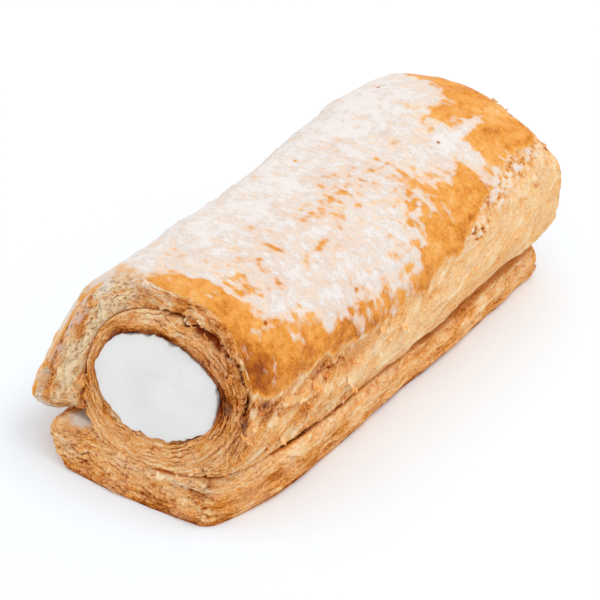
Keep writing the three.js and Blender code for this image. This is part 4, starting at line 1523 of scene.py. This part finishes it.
# The loose bits of leaf. Where the dough was cut or torn, thin bits of its leaves stand out of it: short
# ragged edges on the cut ends, and small curled flakes on the wall under the glaze. They baked on where they
# are.
BIT_KINDS = 6
BIT_COLUMNS = 6
BIT_ROWS = (0, 0.45, 1)  # from its root to its free edge
BIT_THICKNESS = 0.07  # of its length
FRONT_OUT = (0, -0.94, 0.33)
BACK_OUT = (0, 1, 0)


def bit_of_leaf(kind):
    """A thin curled plate one unit long with a ragged free edge, lying flat, with its root a little below
    y = 0."""
    x = np.linspace(-0.5, 0.5, BIT_COLUMNS)
    k = np.arange(BIT_COLUMNS)
    free = 0.22 + 0.34 * scatter(k, 0 * k, 0 * k, 200 + kind) * np.cos(2.4 * x)
    rows = []
    for share in BIT_ROWS:
        rolled = 0.25 * (kind % 3 - 0.6) * share**2 + 0.5 * x * x * (kind % 2)
        rows.append(np.stack([x * (1 - 0.2 * share), lerp(-0.25, free, share), rolled], -1))
        rows[-1][:, 2] += 0.12 * np.sin(5 * x + kind) * share
    above = np.array(rows)
    below = above - np.array([0, 0, BIT_THICKNESS])
    points = np.concatenate([above.reshape(-1, 3), below.reshape(-1, 3)])
    quads = []
    n = BIT_COLUMNS
    for row in range(len(BIT_ROWS) - 1):
        for column in range(n - 1):
            a = row * n + column
            quads.append((a, a + 1, a + n + 1, a + n))
            quads.append((a + 3 * n + n, a + 3 * n + n + 1, a + 3 * n + 1, a + 3 * n))
    rim = [*range(n), 2 * n - 1, *range(3 * n - 1, 2 * n - 1, -1), n]
    for a, b in zip(rim, [*rim[1:], rim[0]]):
        quads.append((b, a, a + 3 * n, b + 3 * n))
    mesh = bpy.data.meshes.new("bit_of_leaf")
    mesh.from_pydata(points, [], quads)
    corner = np.array([loop.vertex_index for loop in mesh.loops])
    strip = mesh.uv_layers.new(name="strip")
    places = points[corner][:, [1, 0]] * MILLIMETRE + 0.01 * kind
    strip.data.foreach_set("uv", places.astype(np.float32).ravel())
    return bpy.data.objects.new("bit_of_leaf", mesh)


bits_of_leaf = bpy.data.collections.new("bits_of_leaf")
for kind in range(BIT_KINDS):
    bits_of_leaf.objects.link(bit_of_leaf(kind))


def make_strewing():
    """Strews bits over a surface: more where it is flaky, each facing its own way and of its own size and
    tone."""
    tree = bpy.data.node_groups.new("strewn_bits", "GeometryNodeTree")
    sockets = {}
    for label, kind in (
        ("Surface", "Geometry"),
        ("Bits", "Collection"),
        ("Number per square metre", "Float"),
        ("Shortest", "Float"),
        ("Longest", "Float"),
        ("Lift", "Float"),
        ("Lift spread", "Float"),
        ("Finish", "Material"),
        ("Draw", "Int"),
    ):
        sockets[label] = tree.interface.new_socket(label, in_out="INPUT", socket_type="NodeSocket" + kind)
    tree.interface.new_socket("Bits", in_out="OUTPUT", socket_type="NodeSocketGeometry")
    given = node(tree, "NodeGroupInput").outputs

    def mark(name, kind="FLOAT"):
        return node(tree, "GeometryNodeInputNamedAttribute", data_type=kind, Name=name).outputs["Attribute"]

    def drawn(low, high, step):
        seed = calculated(tree, "ADD", given["Draw"], step)
        made = node(tree, "FunctionNodeRandomValue", data_type="FLOAT", Seed=seed)
        for socket, value in zip([socket for socket in made.inputs if socket.enabled], (low, high)):
            put(tree, socket, value)
        return [socket for socket in made.outputs if socket.enabled][0]

    points = node(
        tree,
        "GeometryNodeDistributePointsOnFaces",
        Mesh=given["Surface"],
        Density=calculated(tree, "MULTIPLY", mark("flaky"), given["Number per square metre"]),
        Seed=given["Draw"],
    )
    flat = node(
        tree, "FunctionNodeAlignRotationToVector", axis="Z", Vector=mark("leaf_way", "FLOAT_VECTOR")
    )
    facing = node(
        tree,
        "FunctionNodeAlignRotationToVector",
        axis="Y",
        pivot_axis="Z",
        Rotation=flat.outputs["Rotation"],
        Vector=mark("free_way", "FLOAT_VECTOR"),
    )
    lowest = calculated(tree, "MULTIPLY", given["Lift spread"], -1)
    lifted = calculated(tree, "ADD", given["Lift"], drawn(lowest, given["Lift spread"], 1))
    turn = node(tree, "ShaderNodeCombineXYZ", lifted, drawn(-0.3, 0.3, 2), drawn(-0.5, 0.5, 3))
    own_way = node(
        tree,
        "FunctionNodeRotateRotation",
        rotation_space="LOCAL",
        Rotation=facing.outputs["Rotation"],
        Rotate_By=node(tree, "FunctionNodeEulerToRotation", turn.outputs[0]).outputs[0],
    )
    bits = node(
        tree,
        "GeometryNodeCollectionInfo",
        Collection=given["Bits"],
        Separate_Children=True,
        Reset_Children=True,
    )
    placed = node(
        tree,
        "GeometryNodeInstanceOnPoints",
        Points=points.outputs["Points"],
        Instance=bits.outputs[0],
        Pick_Instance=True,
        Rotation=own_way.outputs["Rotation"],
        Scale=drawn(given["Shortest"], given["Longest"], 4),
    )
    toned = node(
        tree,
        "GeometryNodeStoreNamedAttribute",
        placed.outputs["Instances"],
        data_type="FLOAT",
        domain="INSTANCE",
        Name="brown",
    )
    tone = calculated(tree, "ADD", mark("brown"), drawn(-0.2, 0.12, 5))
    put(tree, [socket for socket in toned.inputs if socket.name == "Value" and socket.enabled][0], tone)
    real = node(tree, "GeometryNodeRealizeInstances", toned.outputs["Geometry"])
    finished = node(tree, "GeometryNodeSetMaterial", real.outputs["Geometry"], Material=given["Finish"])
    node(tree, "NodeGroupOutput", finished.outputs["Geometry"])
    return tree, sockets


strewing, strewing_inputs = make_strewing()


def strewn(name, surfaces, **values):
    """Bits strewn over surfaces, each a grid of points with how flaky it is, its leaves' and free edges'
    ways, and how brown it is."""
    points, quads, marks, first = [], [], {"flaky": [], "brown": [], "leaf_way": [], "free_way": []}, 0
    for grid, flaky, leaf_way, free_way, brown in surfaces:
        rows, columns = grid.shape[:2]
        quads.append(first + grid_quads(rows, columns, False, False)[:, [0, 3, 2, 1]])
        points.append(in_metres(grid.reshape(-1, 3)))
        marks["flaky"].append(np.clip(flaky, 0, 1).ravel())
        marks["brown"].append(np.broadcast_to(brown, grid.shape[:2]).ravel())
        marks["leaf_way"].append(np.broadcast_to(leaf_way, grid.shape).ravel())
        marks["free_way"].append(np.broadcast_to(free_way, grid.shape).ravel())
        first += rows * columns
    mesh = bpy.data.meshes.new(name + "_surface")
    mesh.from_pydata(np.concatenate(points), [], np.concatenate(quads).tolist())
    for mark, parts in marks.items():
        kind, slot = ("FLOAT_VECTOR", "vector") if mark.endswith("_way") else ("FLOAT", "value")
        joined = np.concatenate(parts).astype(np.float32)
        mesh.attributes.new(mark, kind, "POINT").data.foreach_set(slot, joined)
    surface = bpy.data.objects.new(name + "_surface", mesh)
    bpy.context.scene.collection.objects.link(surface)
    strew = surface.modifiers.new("strewn", "NODES")
    strew.node_group = strewing
    for label, value in values.items():
        strew[strewing_inputs[label.replace("_", " ")].identifier] = value
    evaluated = surface.evaluated_get(bpy.context.evaluated_depsgraph_get())
    piece = bpy.data.objects.new(name, bpy.data.meshes.new_from_object(evaluated))
    surface.modifiers.remove(strew)
    bpy.data.objects.remove(surface)
    bpy.context.scene.collection.objects.link(piece)
    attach(piece, "root")
    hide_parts("pastry")
    return piece


def away_from_cream(angle):
    return np.stack([np.cos(angle), 0 * angle, np.sin(angle)], -1)


cut_surfaces = []
crevice_surfaces = []
for end, outer, turn, out in ((0, outer_front, turn_front, FRONT_OUT), (1, outer_back, turn_back, BACK_OUT)):
    grid, brown = outer[:2]
    x, z = grid[..., 0], grid[..., 2]
    angle = np.arctan2(z - CREAM_Z, x - CREAM_X)
    leaf, crevice = away_from_cream(angle), crevice_share(angle)
    flaky = 0.4 + 0.5 * rough(x / 4, z / 4, end, 211)
    skin = -6 - 12 * end  # none next to the skin, where they would stand out over the rim
    cut_surfaces.append((grid[6:skin], flaky[6:skin], leaf[6:skin], out, brown[6:skin]))
    crevice_surfaces.append((grid[:8], crevice[:8], leaf[:8], out, brown[:8] + 0.05))
    grid, brown = turn[:2]
    x, z = grid[..., 0], grid[..., 2]
    angle = turn_angles + 0 * x
    leaf, crevice = away_from_cream(angle), crevice_share(angle)
    flaky = 0.35 + 0.5 * bump(np.degrees(angle), 15, 50) + 0.3 * rough(x / 3, z / 3, end, 212)
    cut_surfaces.append((grid[8:], flaky[8:], leaf[8:], out, brown[8:]))
    crevice_surfaces.append((grid[-8:], crevice[-8:], leaf[-8:], out, brown[-8:] + 0.05))
flaky = 0.15 + 0.35 * rough(base_along / 4, base_z / 2, 0, 213)
flaky = flaky * (base_z > 0.8) * (from_top > 0.3) * (1 - faces_right)
free = np.stack([base_normal[:, 0] + 0 * base_z, base_normal[:, 1] + 0 * base_z, 0.2 + 0 * base_z], -1)
cut_surfaces.append((base_points, flaky, (0, 0, 1), free, base_brown))
strewn(
    "cut_edge_bits",
    cut_surfaces,
    Bits=bits_of_leaf,
    Number_per_square_metre=170000.0,
    Shortest=0.0008,
    Longest=0.0026,
    Lift=0.0,
    Lift_spread=0.45,
    Finish=cut_leaves,
    Draw=3,
)
strewn(
    "crevice_bits",
    crevice_surfaces,
    Bits=bits_of_leaf,
    Number_per_square_metre=400000.0,
    Shortest=0.0012,
    Longest=0.0034,
    Lift=0.1,
    Lift_spread=0.6,
    Finish=cut_leaves,
    Draw=9,
)

wall_normal = np.cross(np.gradient(side_points, axis=1), np.gradient(side_points, axis=0))
wall_normal = wall_normal / np.linalg.norm(wall_normal, axis=-1)[..., None]
wall_normal = wall_normal * np.sign(wall_normal[..., :1].mean())
flaky = (0.35 + 0.6 * rough(y_along / 6, above_seam / 6, 0, 214)) * flaky_share + 0.4 * hollow
flaky = flaky * smooth(2.5, 4, above_seam) * smooth(0.2, 1.2, under_edge)
strewn(
    "wall_bits",
    [(side_points, flaky, wall_normal, (0.3, -0.6, -0.8), side_brown)],
    Bits=bits_of_leaf,
    Number_per_square_metre=150000.0,
    Shortest=0.001,
    Longest=0.003,
    Lift=0.2,
    Lift_spread=0.18,
    Finish=pale_leaves,
    Draw=5,
)
for bit in list(bits_of_leaf.objects):
    bpy.data.objects.remove(bit)

# The cream. Whipped cream was piped through the tube from end to end and wiped off at both mouths, so each
# end is a low smooth dome with a soft fold or two, and its rim is a little ragged against the pastry.
CREAM_COLUMNS = 220
CREAM_RINGS = 46
CREAM_DOME = 1.4
CREAM_SUNK = 0.6
CREAM_GAP = 0.12  # between the cream and the pastry round it
CREAM_STOPS = (0.01, 0.1, 0.3, 0.5, 0.7, 0.9, 0.99)  # shares of its length
DIMPLES = [
    [8.5, 27.4, 0.3, 0.5, 0.25],
    [8.8, 30.2, 0.4, 0.3, 0.25],
    [4, 17, 0.4, 0.3, 0.25],
]
CREAM_COLOURS = [(0.3, (0.775, 0.77, 0.755)), (0.7, (0.825, 0.825, 0.82))]


def cream_end(end):
    """One end of the cream, from its middle out to the rim, and the point in its middle."""
    angle = np.linspace(0, 2 * np.pi, CREAM_COLUMNS, endpoint=False)
    share = np.sin(np.linspace(0.02, 1, CREAM_RINGS) * np.pi / 2)[:, None]
    rim = 0.4 * rough(angle * 5, 0, end, 171) + 0.24 * rough(angle * 14, 1, end, 172)
    radius = (opening_radius(angle) - CREAM_GAP + rim * share**6) * share
    x = CREAM_X + radius * np.cos(angle)
    z = CREAM_Z + radius * np.sin(angle)
    fold = 0.16 * np.sin(0.3 * x + 0.55 * z + 1.1 * rough(x / 9, z / 9, end, 173))
    fold = fold + 0.1 * crumpled(x / 6, z / 6, end, 174, 3)
    crease = -0.22 * bump(z - 0.18 * x, 27.2, 0.45) * bump(x, 3, 3.5)
    dome = CREAM_DOME * np.sqrt(np.maximum(0, 1 - share**2)) - CREAM_SUNK
    dome = dome + (fold + crease - spots(x, z, DIMPLES)) * (1 - share**4)
    middle = on_end(np.array([CREAM_X]), np.array([CREAM_Z]), np.array([dome[0].mean()]), end)
    return on_end(x, z, dome, end), middle


def make_whipped_cream():
    """Whipped cream: white, soft and slightly see-through, with a fine grain."""
    finish, tree = new_finish("whipped_cream")
    place = node(tree, "ShaderNodeTexCoord").outputs["Object"]
    relief = node(
        tree, "ShaderNodeBump", Strength=0.25, Distance=0.0002, Height=noise(tree, place, 900, 4, 0.55)
    )
    finish_shader(
        tree,
        Base_Color=colour_along(tree, noise(tree, place, 120, 3, 0.5), CREAM_COLOURS),
        Normal=relief.outputs["Normal"],
        Roughness=0.5,
        Specular_IOR_Level=0.3,
        Subsurface_Weight=0.25,
        Subsurface_Radius=(1, 0.85, 0.7),
        Subsurface_Scale=0.002,
    )
    return finish


cream_front, front_middle = cream_end(0)
cream_back, back_middle = cream_end(1)
cream_side = [lerp(cream_front[-1], cream_back[-1], share)[None] for share in CREAM_STOPS]
cream_rows = np.concatenate([cream_front, *cream_side, cream_back[::-1]])
cream_count = cream_rows.shape[0] * CREAM_COLUMNS
front_fan = fan(CREAM_COLUMNS, 0, cream_count)[:, [2, 0, 1]]
back_fan = fan(CREAM_COLUMNS, cream_count - CREAM_COLUMNS, cream_count + 1)[:, [1, 0, 2]]
whipped_filling = pastry_piece(
    "whipped_filling",
    np.concatenate([cream_rows.reshape(-1, 3), front_middle, back_middle]),
    [grid_quads(len(cream_rows), CREAM_COLUMNS, rows_closed=False), np.concatenate([front_fan, back_fan])],
    {},
    make_whipped_cream(),
)
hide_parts("cream")
